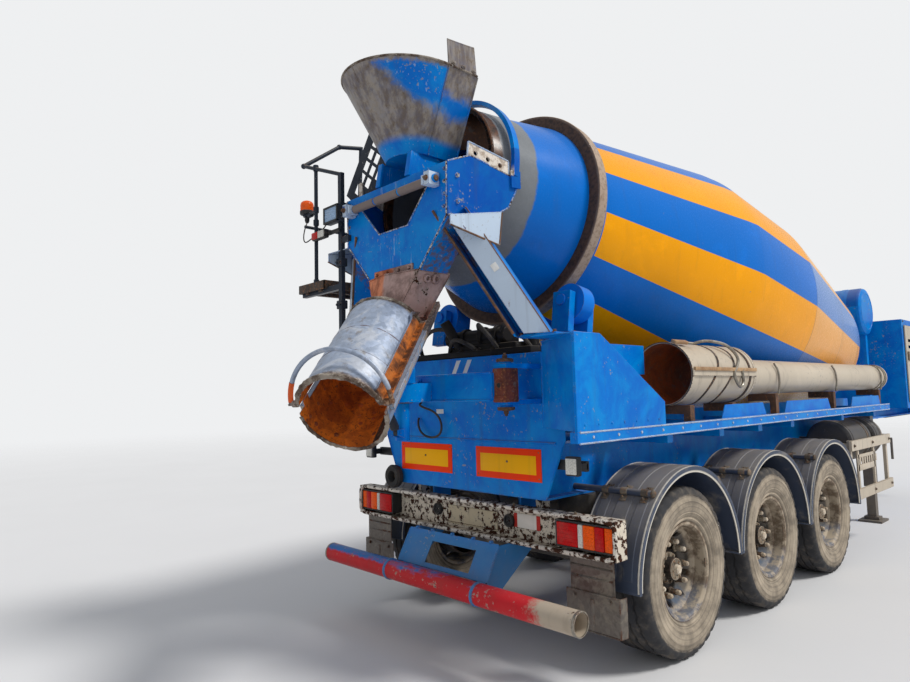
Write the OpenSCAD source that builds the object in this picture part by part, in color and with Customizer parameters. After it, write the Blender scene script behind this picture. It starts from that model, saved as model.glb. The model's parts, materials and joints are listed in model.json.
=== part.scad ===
// Three-axle concrete mixer semi-trailer, parked on its landing legs.
// Millimetres. +X is forward, +Y is left, +Z is up, and the ground is at z = 0.
// Places along x are written from the rearmost axle, and placed() moves them so that
// the trailer's box is centred on the origin.

/* [Running gear] */
// Radius of a tyre
tyre_r = 520; // [480:5:540]
// Width of a tyre
tyre_w = 385; // [355:5:400]
// Radius where the tyre's bead sits on the rim
bead_r = 286; // [270:1:300]
// Distance from one axle to the next
axle_gap = 1310; // [1300:10:1400]
// Distance between the middles of the tyres on one axle
track = 2040; // [2000:10:2060]
// Radius of an axle tube
axle_r = 73; // [60:1:80]
// Radius of the mudguards, from the axle to the outside
guard_r = 650; // [610:5:652]
// Width of a mudguard
guard_w = 400; // [390:5:410]

/* [Frame] */
// Height of the main beams' lower side above the ground
frame_low = 1000; // [960:5:1040]
// Height of the main beams
beam_h = 330; // [300:5:360]
// Distance between the middles of the two main beams
beam_gap = 1300; // [1200:10:1320]
// Width of a main beam's flange
flange_w = 140; // [120:5:160]
// Thickness of the flanges
flange_t = 14; // [10:1:20]
// Thickness of the webs
web_t = 10; // [8:1:14]
// Front end of the frame, from the rearmost axle
front_x = 8000; // [7900:10:8300]
// Kingpin, from the rearmost axle
kingpin_x = 7200; // [7000:10:7300]
// Height of the coupling face above the ground
coupling_z = 1200; // [1150:5:1230]
// Half width of the body over the side rails
half_w = 1200; // [1180:5:1230]
// Top of the side rails above the ground
rail_top = 1440; // [1420:5:1480]

/* [Drum] */
// Slope of the drum's axis, down towards the front, in degrees
drum_tilt = 8.5; // [8:0.1:9]
// Place of the track ring along x
ring_x = -180; // [-220:5:-140]
// Height of the track ring's centre above the ground
ring_z = 2966; // [2940:2:3000]
// Outer radius of the track ring
ring_r = 818; // [800:1:840]
// Width of the track ring
ring_w = 90; // [70:5:110]
// Largest radius of the drum
drum_r = 1100; // [1060:5:1120]
// Thickness of the drum's shell
shell_t = 8; // [6:1:12]
// Radius of a support roller
roller_r = 130; // [120:1:145]
// Angle of a support roller from straight below the drum's axis
roller_angle = 40; // [36:1:42]

/* [Chute and hopper] */
// Height of the hopper's rim above the ground
hopper_top = 3717; // [3700:1:3760]
// Radius of the discharge chute
chute_r = 243; // [230:1:262]
// Length of the discharge chute's hood
chute_l = 760; // [700:10:800]
// Slope of the discharge chute as it is parked, in degrees
chute_slope = 39; // [36:1:42]
// Angle of the parked chute from straight back, towards the right side, in degrees
chute_swing = 30; // [20:1:35]

/* [Front unit] */
// Radius of the water tank
tank_r = 320; // [280:5:330]
// Length of the water tank
tank_l = 1360; // [1200:10:1500]
// Length of the engine cabinet
cabinet_l = 1300; // [1200:10:1400]
// Half width of the engine cabinet
cabinet_half = 950; // [880:5:960]
// Top of the engine cabinet above the ground
cabinet_top = 2540; // [2480:5:2600]

/* [Hidden] */
$fn = 64;

blue = [0.05, 0.35, 0.75];
cream = [0.85, 0.8, 0.7];
steel = [0.6, 0.62, 0.64];
dark = [0.15, 0.15, 0.16];
rust = [0.45, 0.25, 0.15];

// Clearance of a turning fit, of a rolling contact, and between pieces that pass each other
fit_gap = 0.3;
pass_gap = 6;

beam_y = beam_gap / 2;
beam_top = frame_low + beam_h;
rear_x = -770;
rail_rear = -1090;
// Rear and front reach of the whole trailer, which centre it on the origin
chute_axis_x = -1300;
chute_top = [240, 2043];
chute_rim = 12;
reach_rear = chute_axis_x - cos(chute_swing) * (chute_top[0] + chute_l * cos(chute_slope))
    - (chute_r + chute_rim) * sqrt(1 - pow(cos(chute_swing) * cos(chute_slope), 2));
x_shift = -(reach_rear + front_x) / 2;

axle_table = [["1", 0], ["2", axle_gap], ["3", 2 * axle_gap]];

module placed() { translate([x_shift, 0, 0]) children(); }

module both_sides() {
    children();
    mirror([0, 1, 0]) children();
}

// A plate whose outline is in x and z, from y to y + t
module side_plate(outline, y, t) {
    translate([0, y + t, 0]) rotate([90, 0, 0]) linear_extrude(t) polygon(outline);
}

// A plate whose outline is in y and z, from x to x + t
module cross_plate(outline, x, t) {
    translate([x, 0, 0]) rotate([90, 0, 90]) linear_extrude(t) polygon(outline);
}

// A box from its lowest to its highest corner
module block(low, high) { translate(low) cube(high - low); }

// A round bar along y
module rod_y(x, z, r, y0, y1) { translate([x, y1, z]) rotate([90, 0, 0]) cylinder(h = y1 - y0, r = r); }

// A round bar between two points
module bar(a, b, r) {
    d = b - a;
    l = norm(d);
    translate(a) rotate([0, acos(d[2] / l), atan2(d[1], d[0])]) cylinder(h = l, r = r);
}

// A strip of thickness t above a line of points in x and z
function strip(line, t) = concat(line, [for (i = [len(line) - 1:-1:0]) [line[i][0], line[i][1] + t]]);

// Main frame: two I-beams that rise to the gooseneck, joined by cross-members

neck_low = coupling_z + 12;
taper_x = [4250, 4900];
beam_line = [[rear_x + 8, frame_low], [taper_x[0], frame_low], [taper_x[1], neck_low], [front_x - 60, neck_low]];
cross_x = [-600, 655, 1965, 3250, 4350, 5600, 6350];

module main_beam() {
    side_plate(concat(beam_line, [[front_x - 60, beam_top], [rear_x + 8, beam_top]]), beam_y - web_t / 2, web_t);
    side_plate(strip(beam_line, flange_t), beam_y - flange_w / 2, flange_w);
    block([rear_x + 8, beam_y - flange_w / 2, beam_top - flange_t], [front_x - 60, beam_y + flange_w / 2, beam_top]);
}

// Subframe rails on the beams, from the roller bridge to the front pedestal
subframe = [30, 4980];
subframe_top = 1500;

module main_frame() {
    color(blue) placed() {
        both_sides() {
            main_beam();
            block([subframe[0], beam_y - 50, beam_top], [subframe[1], beam_y + 50, subframe_top]);
        }
        for (x = cross_x) rod_y(x, beam_top - 80, 55, -beam_y, beam_y);
        block([-680, web_t / 2 - beam_y, frame_low], [-520, beam_y - web_t / 2, frame_low + 60]);
        block([front_x - 60, -half_w, neck_low], [front_x, half_w, beam_top]);
    }
}

// Side rails: a tube along each edge, gusset plates on it, and the arms that carry it

rail_h = 60;
rail_w = 50;
rail_front = 4700;
arm_x = [-60, 655, 1310, 1965, 3250, 4300];
// Gussets on the rail: start and end along x
gusset_table = [[700, 1480], [1850, 2970], [3580, 4600]];

module side_rail() {
    block([rail_rear, half_w - rail_w, rail_top - rail_h], [rail_front, half_w, rail_top]);
    for (g = gusset_table) translate([0, 0, rail_top])
        side_plate([[g[0], 0], [g[1], 0], [g[1] - 60, 95], [g[0] + 60, 95]], half_w - 70, 8);
    for (g = gusset_table) block([g[0], half_w - 70, rail_top - 4], [g[1], half_w - rail_w, rail_top]);
    for (x = arm_x)
        side_plate([[x - 35, beam_top - flange_t], [x + 35, beam_top - flange_t], [x + 35, rail_top - 12],
            [x - 35, rail_top - 12]], beam_y + flange_w / 2, half_w - rail_w - beam_y - flange_w / 2);
}

module side_rails() { color(blue) placed() both_sides() side_rail(); }

// Coupling under the gooseneck

module coupler_plate() {
    color(dark) placed() difference() {
        block([kingpin_x - 650, -beam_y - 50, coupling_z], [front_x - 60, beam_y + 50, neck_low]);
        translate([kingpin_x, 0, coupling_z - 1]) cylinder(h = 20, r = 62);
    }
}

// Kingpin: flange, neck of 50.8 mm for the jaws, and head, all of one forging
module kingpin() {
    color(steel) placed() translate([kingpin_x, 0, coupling_z]) {
        translate([0, 0, -84]) cylinder(h = 34, r = 35.7);
        translate([0, 0, -50]) cylinder(h = 32, r = 25.4);
        translate([0, 0, -18]) cylinder(h = 18, r = 36.5);
        cylinder(h = 12, r = 61.5);
        translate([0, 0, 12]) cylinder(h = 16, r = 90);
    }
    color(blue) placed() both_sides()
        block([kingpin_x - 30, 90, neck_low], [kingpin_x + 30, beam_y - flange_w / 2, neck_low + 60]);
}

// Rear body: flared sheet housing over the rear of the frame

body_top = 1900;
face_low = 1000;
face_half = 715;
wing_top = 1970;
wing_in = 900;
// The wing's top slopes from its full height at the first place to its front height at the second
wing_x = [-850, -190];
wing_front = 1580;
sheet = 8;

module rear_body() {
    color(blue) placed() {
        // lower face, which carries the marking boards
        cross_plate([[-face_half, face_low], [face_half, face_low], [870, rail_top - 80], [870, rail_top],
            [-870, rail_top], [-870, rail_top - 80]], rear_x, sheet);
        // upper face, across the whole width between the flares
        block([rear_x, -face_half, rail_top], [rear_x + sheet, face_half, body_top]);
        both_sides() {
            rear_flare();
            rear_wing();
            // top of the wing, which slopes down to the front
            side_plate(strip([[rail_rear, wing_top - sheet], [wing_x[0], wing_top - sheet],
                [wing_x[1], wing_front - sheet]], sheet),
                wing_in, half_w - wing_in - sheet);
        }
    }
}

// The flare runs out and back from the face to the rail's rear end
module rear_flare() {
    translate([0, 0, rail_top]) linear_extrude(wing_top - sheet - rail_top)
        polygon([[rear_x, face_half], [rear_x + sheet, face_half], [rail_rear + sheet, half_w - sheet],
            [rail_rear, half_w - sheet]]);
}

module rear_wing() {
    side_plate([[rail_rear, rail_top], [wing_x[1], rail_top], [wing_x[1], wing_front], [wing_x[0], wing_top],
        [rail_rear, wing_top]],
        half_w - sheet, sheet);
}

// Marking boards on the rear face
board = [565, 200];
board_at = [120, 1105];
module marking_boards() {
    color("orange") placed() both_sides() translate([rear_x - 4, board_at[0], board_at[1]])
        cube([4, board[0], board[1]]);
}

// Lamp bar: a channel open to the rear with rounded end caps

bar_z = [721, 939];
bar_half = half_w + 10;
// Sides of the lamps and of the plates under them
lamp_y = [bar_half - 410, bar_half - 20];
module lamp_bar() {
    color([0.9, 0.9, 0.88]) placed() {
        block([-700, -bar_half, bar_z[0]], [-692, bar_half, bar_z[1]]);
        for (z = [bar_z[0], bar_z[1] - 6])
            block([-800, -bar_half, z], [-700, bar_half, z + 6]);
        both_sides() block([-800, bar_half - 6, bar_z[0] + 6], [-700, bar_half, bar_z[1] - 6]);
        both_sides() block([-692, 560, 880], [-600, 600, frame_low]);
        both_sides() block([-692, 560, 800], [-684, 600, 880]);
    }
}

// Lamp clusters in the ends of the bar
module rear_lamps() {
    color("red") placed() both_sides() {
        block([-790, lamp_y[0], bar_z[0] + 40], [-700, lamp_y[1], bar_z[1] - 40]);
    }
}

// Underrun protection: a round bar on two arms with a sloped plate

underrun_x = -1086;
underrun_z = 464;
underrun_r = 66;
module underrun_bar() {
    color([0.75, 0.1, 0.12]) placed() difference() {
        rod_y(underrun_x, underrun_z, underrun_r, 30 - half_w, half_w - 30);
        rod_y(underrun_x, underrun_z, underrun_r - 6, 29 - half_w, half_w - 29);
    }
}

module underrun_bracket() {
    color(blue) placed() {
        both_sides() side_plate([[-520, frame_low], [-686, frame_low], [-686, bar_z[0] - 6], [-900, bar_z[0] - 6],
            [underrun_x + underrun_r, underrun_z + 40], [underrun_x + underrun_r, underrun_z - 40], [-900, 440],
            [-520, 700]], 420, 12);
        difference() {
            side_plate(strip([[underrun_x + underrun_r, underrun_z + 46], [-900, bar_z[0] - 6]], 8), -432, 864);
            block([-1010, -260, 400], [-930, 160, 720]);
        }
    }
}

// Plates behind the rear wheels
module mud_flaps() {
    color([0.45, 0.47, 0.5]) placed() both_sides() {
        block([-760, lamp_y[0] + 30, 300], [-754, lamp_y[1], 520]);
        block([-754, lamp_y[0] + 60, 420], [-748, lamp_y[1] - 30, bar_z[0]]);
    }
}

// Axles: tube, spindles, trailing arms and brake chambers

spindle_r = 45;
wheel_y = track / 2;
drum_in = wheel_y - 235;
hanger_dx = 500;
spring_dx = -380;
arm_w = 100;
pivot_z = 700;
spring_low = 640;
spring_r = 130;

module axle_at(x) {
    color(dark) placed() translate([x, 0, 0]) {
        rod_y(0, tyre_r, axle_r, -drum_in, drum_in);
        rod_y(0, tyre_r, spindle_r, -wheel_y - 75, wheel_y + 75);
        both_sides() {
            trailing_arm();
            rod_y(-150, tyre_r + 40, 70, 360, 500);
            block([-150, 400, tyre_r - 20], [0, 440, tyre_r + 60]);
        }
    }
}

module axles() { for (a = axle_table) axle_at(a[1]); }

// A trailing arm from the hanger's bolt over the axle to the air spring
module trailing_arm() {
    difference() {
        side_plate([[hanger_dx + 45, pivot_z - 45], [hanger_dx + 45, pivot_z + 45], [hanger_dx - 45, pivot_z + 45],
            [120, 640], [-120, spring_low], [spring_dx - 100, spring_low], [spring_dx - 100, spring_low - 30],
            [-130, tyre_r - 10], [130, tyre_r - 10]], beam_y - arm_w / 2, arm_w);
        rod_y(hanger_dx, pivot_z, 20, beam_y - 60, beam_y + 60);
    }
}

// Air springs between the arms and the beams, as bellows
module air_springs() {
    color(dark) placed() for (a = axle_table) both_sides()
        translate([a[1] + spring_dx, beam_y, spring_low]) {
            rotate_extrude() polygon([[0, 0], [90, 0], [90, 120], [spring_r - 10, 140], [spring_r, 190],
                [spring_r - 8, 235], [spring_r - 22, 245], [spring_r - 8, 255], [spring_r, 300],
                [spring_r - 14, frame_low - spring_low], [0, frame_low - spring_low]]);
        }
}

// Hangers that hold the trailing arms' bolts
module axle_hangers() {
    color(blue) placed() for (a = axle_table) both_sides() {
        translate([a[1], 0, 0]) {
            for (y = [beam_y - arm_w / 2 - 14, beam_y + arm_w / 2 + 4]) difference() {
                side_plate([[hanger_dx - 110, frame_low], [hanger_dx - 60, pivot_z - 60], [hanger_dx + 60, pivot_z - 60],
                    [hanger_dx + 130, frame_low]], y, 10);
                rod_y(hanger_dx, pivot_z, 20, y - 1, y + 11);
            }
            rod_y(hanger_dx, pivot_z, 20, beam_y - arm_w / 2 - 40, beam_y + arm_w / 2 + 40);
        }
    }
}

// Wheels: dished steel disc, brake drum, hub and ten nuts, all turning on the spindle

rim_half = 149;
flange_r = bead_r + 14;
nut_count = 10;
nut_pcd = 335;
module at_wheel(x, side) {
    placed() translate([x, side * wheel_y, tyre_r]) rotate([-side * 90, 0, 0]) children();
}

module wheel(x, side) {
    color([0.4, 0.38, 0.36]) at_wheel(x, side) difference() {
        union() {
            rotate_extrude($fn = 96) polygon([[150, -16], [178, -16], [200, -10], [bead_r - 24, 70], [bead_r - 12, 78],
                [bead_r - 12, -30], [bead_r - 16, -30], [bead_r - 16, 56], [208, -26], [150, -30]]);
            rotate_extrude($fn = 96) polygon([[bead_r - 16, -rim_half + 9], [bead_r - 8, -rim_half + 13], [bead_r, -rim_half + 3],
                [flange_r, -rim_half], [flange_r, -rim_half - 9], [bead_r - 3, -rim_half - 9]]);
            rotate_extrude($fn = 96) polygon([[bead_r - 16, -rim_half + 9], [bead_r - 8, -rim_half + 13],
                [bead_r - 8, rim_half - 13], [bead_r - 16, rim_half - 9]]);
            rotate_extrude($fn = 96) polygon([[bead_r - 16, rim_half - 9], [bead_r - 8, rim_half - 13], [bead_r, rim_half - 3],
                [flange_r, rim_half], [flange_r, rim_half + 9], [bead_r - 3, rim_half + 9]]);
            // hub, with the brake drum on its inner side
            rotate_extrude() polygon([[0, 92], [62, 92], [70, 84], [70, 40], [100, 30], [110, -14], [150, -16],
                [190, -30], [190, -46], [205, -60], [205, -220], [193, -220], [193, -60], [80, -60], [80, -120], [0, -120]]);
            for (i = [0:nut_count - 1]) rotate(i * 360 / nut_count) translate([nut_pcd / 2, 0, -16])
                cylinder(h = 46, r = 16, $fn = 6);
        }
        translate([0, 0, -240]) cylinder(h = 240 + 75 + pass_gap, r = spindle_r + fit_gap);
        for (i = [0:nut_count - 1]) rotate((i + 0.5) * 360 / nut_count) translate([232, 0, -80])
            cylinder(h = 220, r = 20);
    }
}

// Tyre: bead, bulged sidewall, shoulder and a tread with four grooves
module tyre(x, side) {
    w = tyre_w / 2;
    color([0.12, 0.12, 0.12]) at_wheel(x, side) rotate_extrude($fn = 96) polygon([
        [bead_r, -rim_half + 3], [flange_r, -rim_half], [flange_r, -rim_half - 2], [flange_r + 6, -rim_half - 4],
        [330, -w + 12], [390, -w], [450, -w + 8], [tyre_r - 24, -w + 26],
        [tyre_r - 3, -w + 40], [tyre_r, -104], [tyre_r - 14, -100], [tyre_r - 14, -88], [tyre_r, -84],
        [tyre_r, -38], [tyre_r - 14, -34], [tyre_r - 14, -22], [tyre_r, -18],
        [tyre_r, 18], [tyre_r - 14, 22], [tyre_r - 14, 34], [tyre_r, 38],
        [tyre_r, 84], [tyre_r - 14, 88], [tyre_r - 14, 100], [tyre_r, 104],
        [tyre_r - 3, w - 40], [tyre_r - 24, w - 26], [450, w - 8], [390, w], [330, w - 12],
        [flange_r + 6, rim_half + 4], [flange_r, rim_half + 2], [flange_r, rim_half], [bead_r, rim_half - 3],
        [bead_r - 8, rim_half - 13], [bead_r - 8, -rim_half + 13]]);
}

// Mudguards: half rings with a light lip along the outer edge, and the bars that carry them

guard_t = 6;
guard_in = half_w + 50 - guard_w;
module half_ring(r_in, r_out, y0, y1) {
    translate([0, y1, tyre_r]) rotate([90, 0, 0]) rotate_extrude(angle = 180)
        polygon([[r_in, 0], [r_out, 0], [r_out, y1 - y0], [r_in, y1 - y0]]);
}

module mudguards() {
    color([0.2, 0.22, 0.25]) placed() for (a = axle_table) both_sides() translate([a[1], 0, 0]) {
        half_ring(guard_r - guard_t, guard_r, guard_in, half_w + 36);
        half_ring(guard_r - 24, guard_r, half_w + 36, half_w + 50);
        half_ring(guard_r - 16, guard_r, guard_in, guard_in + 12);
        for (s = [-1, 1]) {
            x = s * (guard_r + 16) * cos(52);
            z = tyre_r + (guard_r + 16) * sin(52);
            rod_y(x, z, 20, beam_y + web_t / 2, half_w + 20);
        }
    }
}

// Side guards ahead of the wheels
guard_x = [2 * axle_gap + guard_r + 20, 4620];
guard_z = [530, 1010];
guard_h = 100;
guard_in_y = half_w - 28;
module side_guards() {
    color([0.8, 0.78, 0.74]) placed() both_sides() {
        for (z = guard_z) block([guard_x[0], guard_in_y, z], [guard_x[1], half_w, z + guard_h]);
        for (x = [guard_x[0] + 40, guard_x[1] - 90]) {
            block([x, guard_in_y - 32, guard_z[0]], [x + 50, guard_in_y, guard_z[1] + guard_h]);
            block([x, beam_y + web_t / 2, guard_z[1] + 20], [x + 50, guard_in_y - 32, guard_z[1] + 70]);
        }
    }
}

// Two round tanks beside the right beam
round_r = (guard_in_y - beam_y - flange_w / 2 - 20) / 2;
round_y = -(guard_in_y - round_r - pass_gap);
round_z = 1085;
// Tanks: start and end along x
round_table = [[3420, 4080], [4200, 4480]];
module round_tanks() {
    color([0.3, 0.3, 0.32]) placed() for (t = round_table) {
        translate([t[0], round_y, round_z]) rotate([0, 90, 0])
            rotate_extrude() polygon([[0, 0], [round_r - 30, 0], [round_r, 18], [round_r, t[1] - t[0] - 18],
                [round_r - 30, t[1] - t[0]], [0, t[1] - t[0]]]);
        for (x = [t[0] + 60, t[1] - 100]) {
            translate([x, round_y, round_z]) rotate([0, 90, 0]) cylinder(h = 40, r = round_r + 5);
            block([x, round_y, round_z], [x + 40, -beam_y - web_t / 2, round_z + 45]);
        }
    }
}

// Landing legs: outer tube, inner tube, foot, brace and crank shaft
leg_x = 5350;
leg_y = beam_y + flange_w / 2 + 60;
module landing_legs() {
    color([0.25, 0.26, 0.28]) placed() {
        both_sides() translate([leg_x, leg_y, 0]) {
            block([-60, -60, 420], [60, 60, 1290]);
            block([-48, -48, 60], [48, 48, 420]);
            block([-150, -125, 0], [150, 125, 24]);
            block([-70, -80, 24], [70, 80, 60]);
        }
        rod_y(leg_x, 1150, 18, -leg_y + 60, leg_y - 60);
        both_sides() bar([leg_x - 30, leg_y - 40, 700], [leg_x - 600, leg_y - 45, 1135], 25);
        rod_y(leg_x, 1000, 16, -leg_y - 260, -leg_y - 60);
        bar([leg_x, -leg_y - 250, 1000], [leg_x, -leg_y - 250, 760], 14);
    }
}

// Along the drum's axis: local z runs forward and down from the ring's centre, local -x is up

module on_drum_axis() { placed() translate([ring_x, 0, ring_z]) rotate([0, 90 + drum_tilt, 0]) children(); }

// Drum outline: distance along the axis from the ring, and outer radius
mouth_s = -830;
hub_s = 5600;
drum_line = [[mouth_s, 540], [-756, 566], [-473, 622], [-ring_w / 2, 726], [ring_w / 2, 748], [1800, 1080],
    [1950, drum_r], [3150, drum_r], [3300, drum_r - 15], [5350, 840], [5470, 700], [5540, 400], [5560, 240]];

// Head of the drum: its axis is at this height over the ground at distance s
function axis_x(s) = ring_x + s * cos(drum_tilt);
function axis_z(s) = ring_z - s * sin(drum_tilt);
function drum_point(s, down) = [axis_x(s) - down * sin(drum_tilt), axis_z(s) - down * cos(drum_tilt)];

module drum_shell() {
    n = len(drum_line);
    color([0.1, 0.4, 0.8]) on_drum_axis() {
        rotate_extrude($fn = 96) polygon(concat(
            [for (p = drum_line) [p[1], p[0]]],
            [for (i = [n - 1:-1:0]) [drum_line[i][1] - shell_t, drum_line[i][0] - (i > n - 5 ? shell_t : 0)]]));
        // mouth flange
        translate([0, 0, mouth_s]) rotate_extrude($fn = 96) polygon([[540, 0], [566, 0], [566, 12], [546, 12]]);
        // hub plate and the shaft into the gearbox
        translate([0, 0, 5552]) cylinder(h = 28, r = 240);
        translate([0, 0, 5580]) cylinder(h = 90, r = 80);
    }
}

// Track ring on the shell
module drum_ring() {
    color(rust) on_drum_axis() rotate_extrude($fn = 96) polygon([[726, -ring_w / 2], [748, ring_w / 2],
        [ring_r - 4, ring_w / 2], [ring_r, ring_w / 2 - 6], [ring_r, -ring_w / 2 + 6], [ring_r - 4, -ring_w / 2]]);
}

// Inner radius of the shell at distance s along the axis
function shell_in(s) = lookup(s, drum_line) - shell_t;

// Blades: two screws on the shell's inner side, each a strip of four corners a step
blade_h = 260;
blade_t = 10;
blade_pitch = 1500;
blade_from = -740;
blade_to = 3800;
blade_step = 20;
function blade_ring(s, a) = [for (c = [[0, 0], [0, 1], [1, 1], [1, 0]])
    let (r = min(shell_in(s), shell_in(s + blade_t)) - fit_gap - c[0] * blade_h) [r * cos(a), r * sin(a), s + c[1] * blade_t]];

module drum_blade(start) {
    n = floor((blade_to - blade_from) / blade_pitch * 360 / blade_step);
    points = [for (i = [0:n]) each blade_ring(blade_from + i * blade_step / 360 * blade_pitch, start + i * blade_step)];
    faces = concat([[0, 1, 2, 3]], [[4 * n + 3, 4 * n + 2, 4 * n + 1, 4 * n]],
        [for (i = [0:n - 1]) for (k = [0:3]) [4 * i + k, 4 * i + 4 + k, 4 * i + 4 + (k + 1) % 4]],
        [for (i = [0:n - 1]) for (k = [0:3]) [4 * i + k, 4 * i + 4 + (k + 1) % 4, 4 * i + (k + 1) % 4]]);
    polyhedron(points, faces);
}

module drum_blades() { color(rust) on_drum_axis() for (a = [0, 180]) drum_blade(a); }

// Support rollers under the ring, each with its shaft

roller_reach = ring_r + roller_r + 0.5;
roller_w = ring_w + 30;
shaft_r = 38;
module at_roller(side) {
    on_drum_axis() translate([roller_reach * cos(roller_angle), side * roller_reach * sin(roller_angle), 0]) children();
}

module roller(side) {
    color(steel) at_roller(side) {
        translate([0, 0, -roller_w / 2]) cylinder(h = roller_w, r = roller_r);
        translate([0, 0, -roller_w / 2 - 90]) cylinder(h = roller_w + 180, r = shaft_r);
    }
}

// Bearing blocks and the bridge that carries them
bridge_top = 1960;
bridge_y = [380, 860];
module roller_bridge() {
    color(blue) {
        for (side = [-1, 1]) difference() {
            at_roller(side) for (s = [-1, 1]) translate([-60, -70, s * (roller_w / 2 + 45) - 30]) cube([280, 140, 60]);
            at_roller(side) cylinder(h = roller_w + 300, r = shaft_r + fit_gap, center = true);
            placed() block([-700, -1000, 1700], [400, 1000, bridge_top]);
        }
        placed() {
            both_sides() block([-420, bridge_y[0], 1760], [160, bridge_y[1], bridge_top]);
            block([-300, -bridge_y[0], 1560], [60, bridge_y[0], 1720]);
            both_sides() block([-300, bridge_y[0], 1560], [60, bridge_y[1], 1760]);
            both_sides() block([-260, beam_y - 60, beam_top], [20, beam_y + 60, 1560]);
            cross_plate([[-bridge_y[0], 1720], [bridge_y[0], 1720], [bridge_y[0], bridge_top], [200, bridge_top + 70],
                [-200, bridge_top + 70], [-bridge_y[0], bridge_top]], -300, 12);
        }
    }
}

// Front pedestal and gearbox

gear_s = 5584;
gear_l = 400;
gear_r = 220;
module gearbox() {
    color([0.35, 0.37, 0.4]) on_drum_axis() difference() {
        union() {
            translate([0, 0, gear_s + 2]) cylinder(h = 60, r = gear_r + 36);
            translate([0, 0, gear_s + 62]) cylinder(h = gear_l - 130, r = gear_r);
            translate([0, 0, gear_s + gear_l - 68]) cylinder(h = 140, r = 110);
            translate([0, 0, gear_s + gear_l + 60]) cylinder(h = 170, r = 72);
        }
        translate([0, 0, gear_s - 10]) cylinder(h = 104, r = 80 + fit_gap);
    }
}

head_s = gear_s + 62;
module front_pedestal() {
    x = axis_x(head_s);
    z = axis_z(head_s);
    color(blue) {
        on_drum_axis() difference() {
            translate([-gear_r - 40, -320, head_s]) cube([gear_r + 340, 640, 24]);
            translate([0, 0, head_s - 1]) cylinder(h = 26, r = gear_r + 2);
        }
        placed() both_sides() {
            side_plate([[x - 230, beam_top + 8], [x + 485, beam_top + 8], [x + 300, z - 130], [x + 80, z + 140],
                drum_point(head_s + 12, -150), drum_point(head_s + 12, 320)], 284, 16);
            block([x - 245, 264, beam_top], [x + 500, beam_y, beam_top + 16]);
        }
    }
}

// Hopper frame: a V-shaped plate with an opening, and the side plates that reach forward from it

vee_x = -1350;
vee_t = 10;
flare = 11.5;
vee = [[-530, 3030], [-520, 2700], [-260, 2420], [260, 2420], [520, 2700], [530, 3030]];
vee_hole = [[-370, 2950], [-150, 2720], [150, 2720], [370, 2950]];
module hopper_frame() {
    color(blue) placed() {
        difference() {
            cross_plate(vee, vee_x, vee_t);
            cross_plate(vee_hole, vee_x - 1, vee_t + 2);
        }
        both_sides() {
            translate([vee_x + vee_t, 520, 0]) rotate(flare) side_plate([[-8, 2702], [330, 2740], [430, 2800],
                [530, 2985], [150, 3090], [-8, 3026]], 0, 10);
            // light plate with three holes on the side plate's top edge
            translate([vee_x + vee_t, 520, 0]) rotate(flare) difference() {
                side_plate([[140, 3070], [445, 2998], [445, 3104], [150, 3178]], -10, 12);
                for (x = [200, 290, 380]) rod_y(x, 3124 - 0.26 * (x - 150), 15, -11, 3);
            }
            // leg from the rear body up to the frame, on a foot plate
            leg();
            block([-1075, 790, wing_top], [-870, 1070, wing_top + foot_t]);
            // side wall of the channel under the V plate
            cross_plate([[257, 2423], [517, 2703], [525, 2696], [265, 2416]], vee_x + 2, 218);
            // bracket under the hopper
            side_plate([[vee_x + vee_t, 2960], [vee_x + vee_t, 3060], [-1300, hopper_low], [-1080, hopper_low],
                [-1080, hopper_low - 50], [-1240, 2990]], 150, 10);
        }
        block([screen_x - 10, 535, 3040], [screen_x, 575, 3200]);
        rod_y(vee_x - 40, 2930, 25, -470, 470);
        both_sides() block([vee_x - 80, 420, 2895], [vee_x, 450, 2965]);
    }
}

// Slotted screen beside the hopper, over the platform
screen_x = -1206;
screen_t = 6;
screen_lean = 37.5;
// Slots: rows along the screen, and slots in a row
screen_slots = [5, 4];
module slotted_screen() {
    color(dark) placed() difference() {
        cross_plate([[755, 3157], [430, 3580], [356, 3524], [252, 3290], [252, 3110], [700, 3110]], screen_x, screen_t);
        for (i = [0:screen_slots[0] - 1], j = [0:screen_slots[1] - 1])
            translate([screen_x - 1, 640, 3135]) rotate([screen_lean, 0, 0]) translate([0, -38 - 88 * j, 10 + 92 * i])
                if (screen_shows(i, j)) cube([screen_t + 2, 56, 70]);
    }
}
// A slot is cut where it leaves metal round it
function screen_shows(i, j) = let (y = 602 - 88 * j * cos(screen_lean) - 92 * i * sin(screen_lean),
    z = 3145 - 88 * j * sin(screen_lean) + 92 * i * cos(screen_lean)) z > 3125 && y > 330 && z < 3480;

foot_t = 12;
leg_low = [-970, 950, wing_top - 60];
leg_high = [-1200, 520, 2700];
module leg() {
    d = leg_high - leg_low;
    l = norm(d);
    intersection() {
        translate(leg_low) rotate([0, acos(d[2] / l), atan2(d[1], d[0])]) difference() {
            translate([-50, -90, -200]) cube([180, 180, l + 300]);
            translate([-40, -91, -201]) cube([160, 171, l + 302]);
        }
        block([-1500, 300, wing_top], [-600, 1300, leg_high[2] + 60]);
    }
}

// Arch round the drum's mouth
arch_r = [614, 644];
arch_s = -690;
module mouth_arch() {
    color(blue) {
        on_drum_axis() translate([0, 0, arch_s]) {
            rotate([0, 0, 90]) rotate_extrude(angle = 180) polygon([[arch_r[0], -25], [arch_r[1], -25], [arch_r[1], 25],
                [arch_r[0], 25]]);
            both_sides() translate([0, arch_r[0], -25]) cube([60, arch_r[1] - arch_r[0], 50]);
        }
        placed() both_sides() translate([vee_x + vee_t, 520, 0]) rotate(flare) block([450, 10, 2930], [520, 24, 3040]);
    }
}

// Charging hopper: half oval rim, sides that run forward, tapering to the mouth

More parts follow.
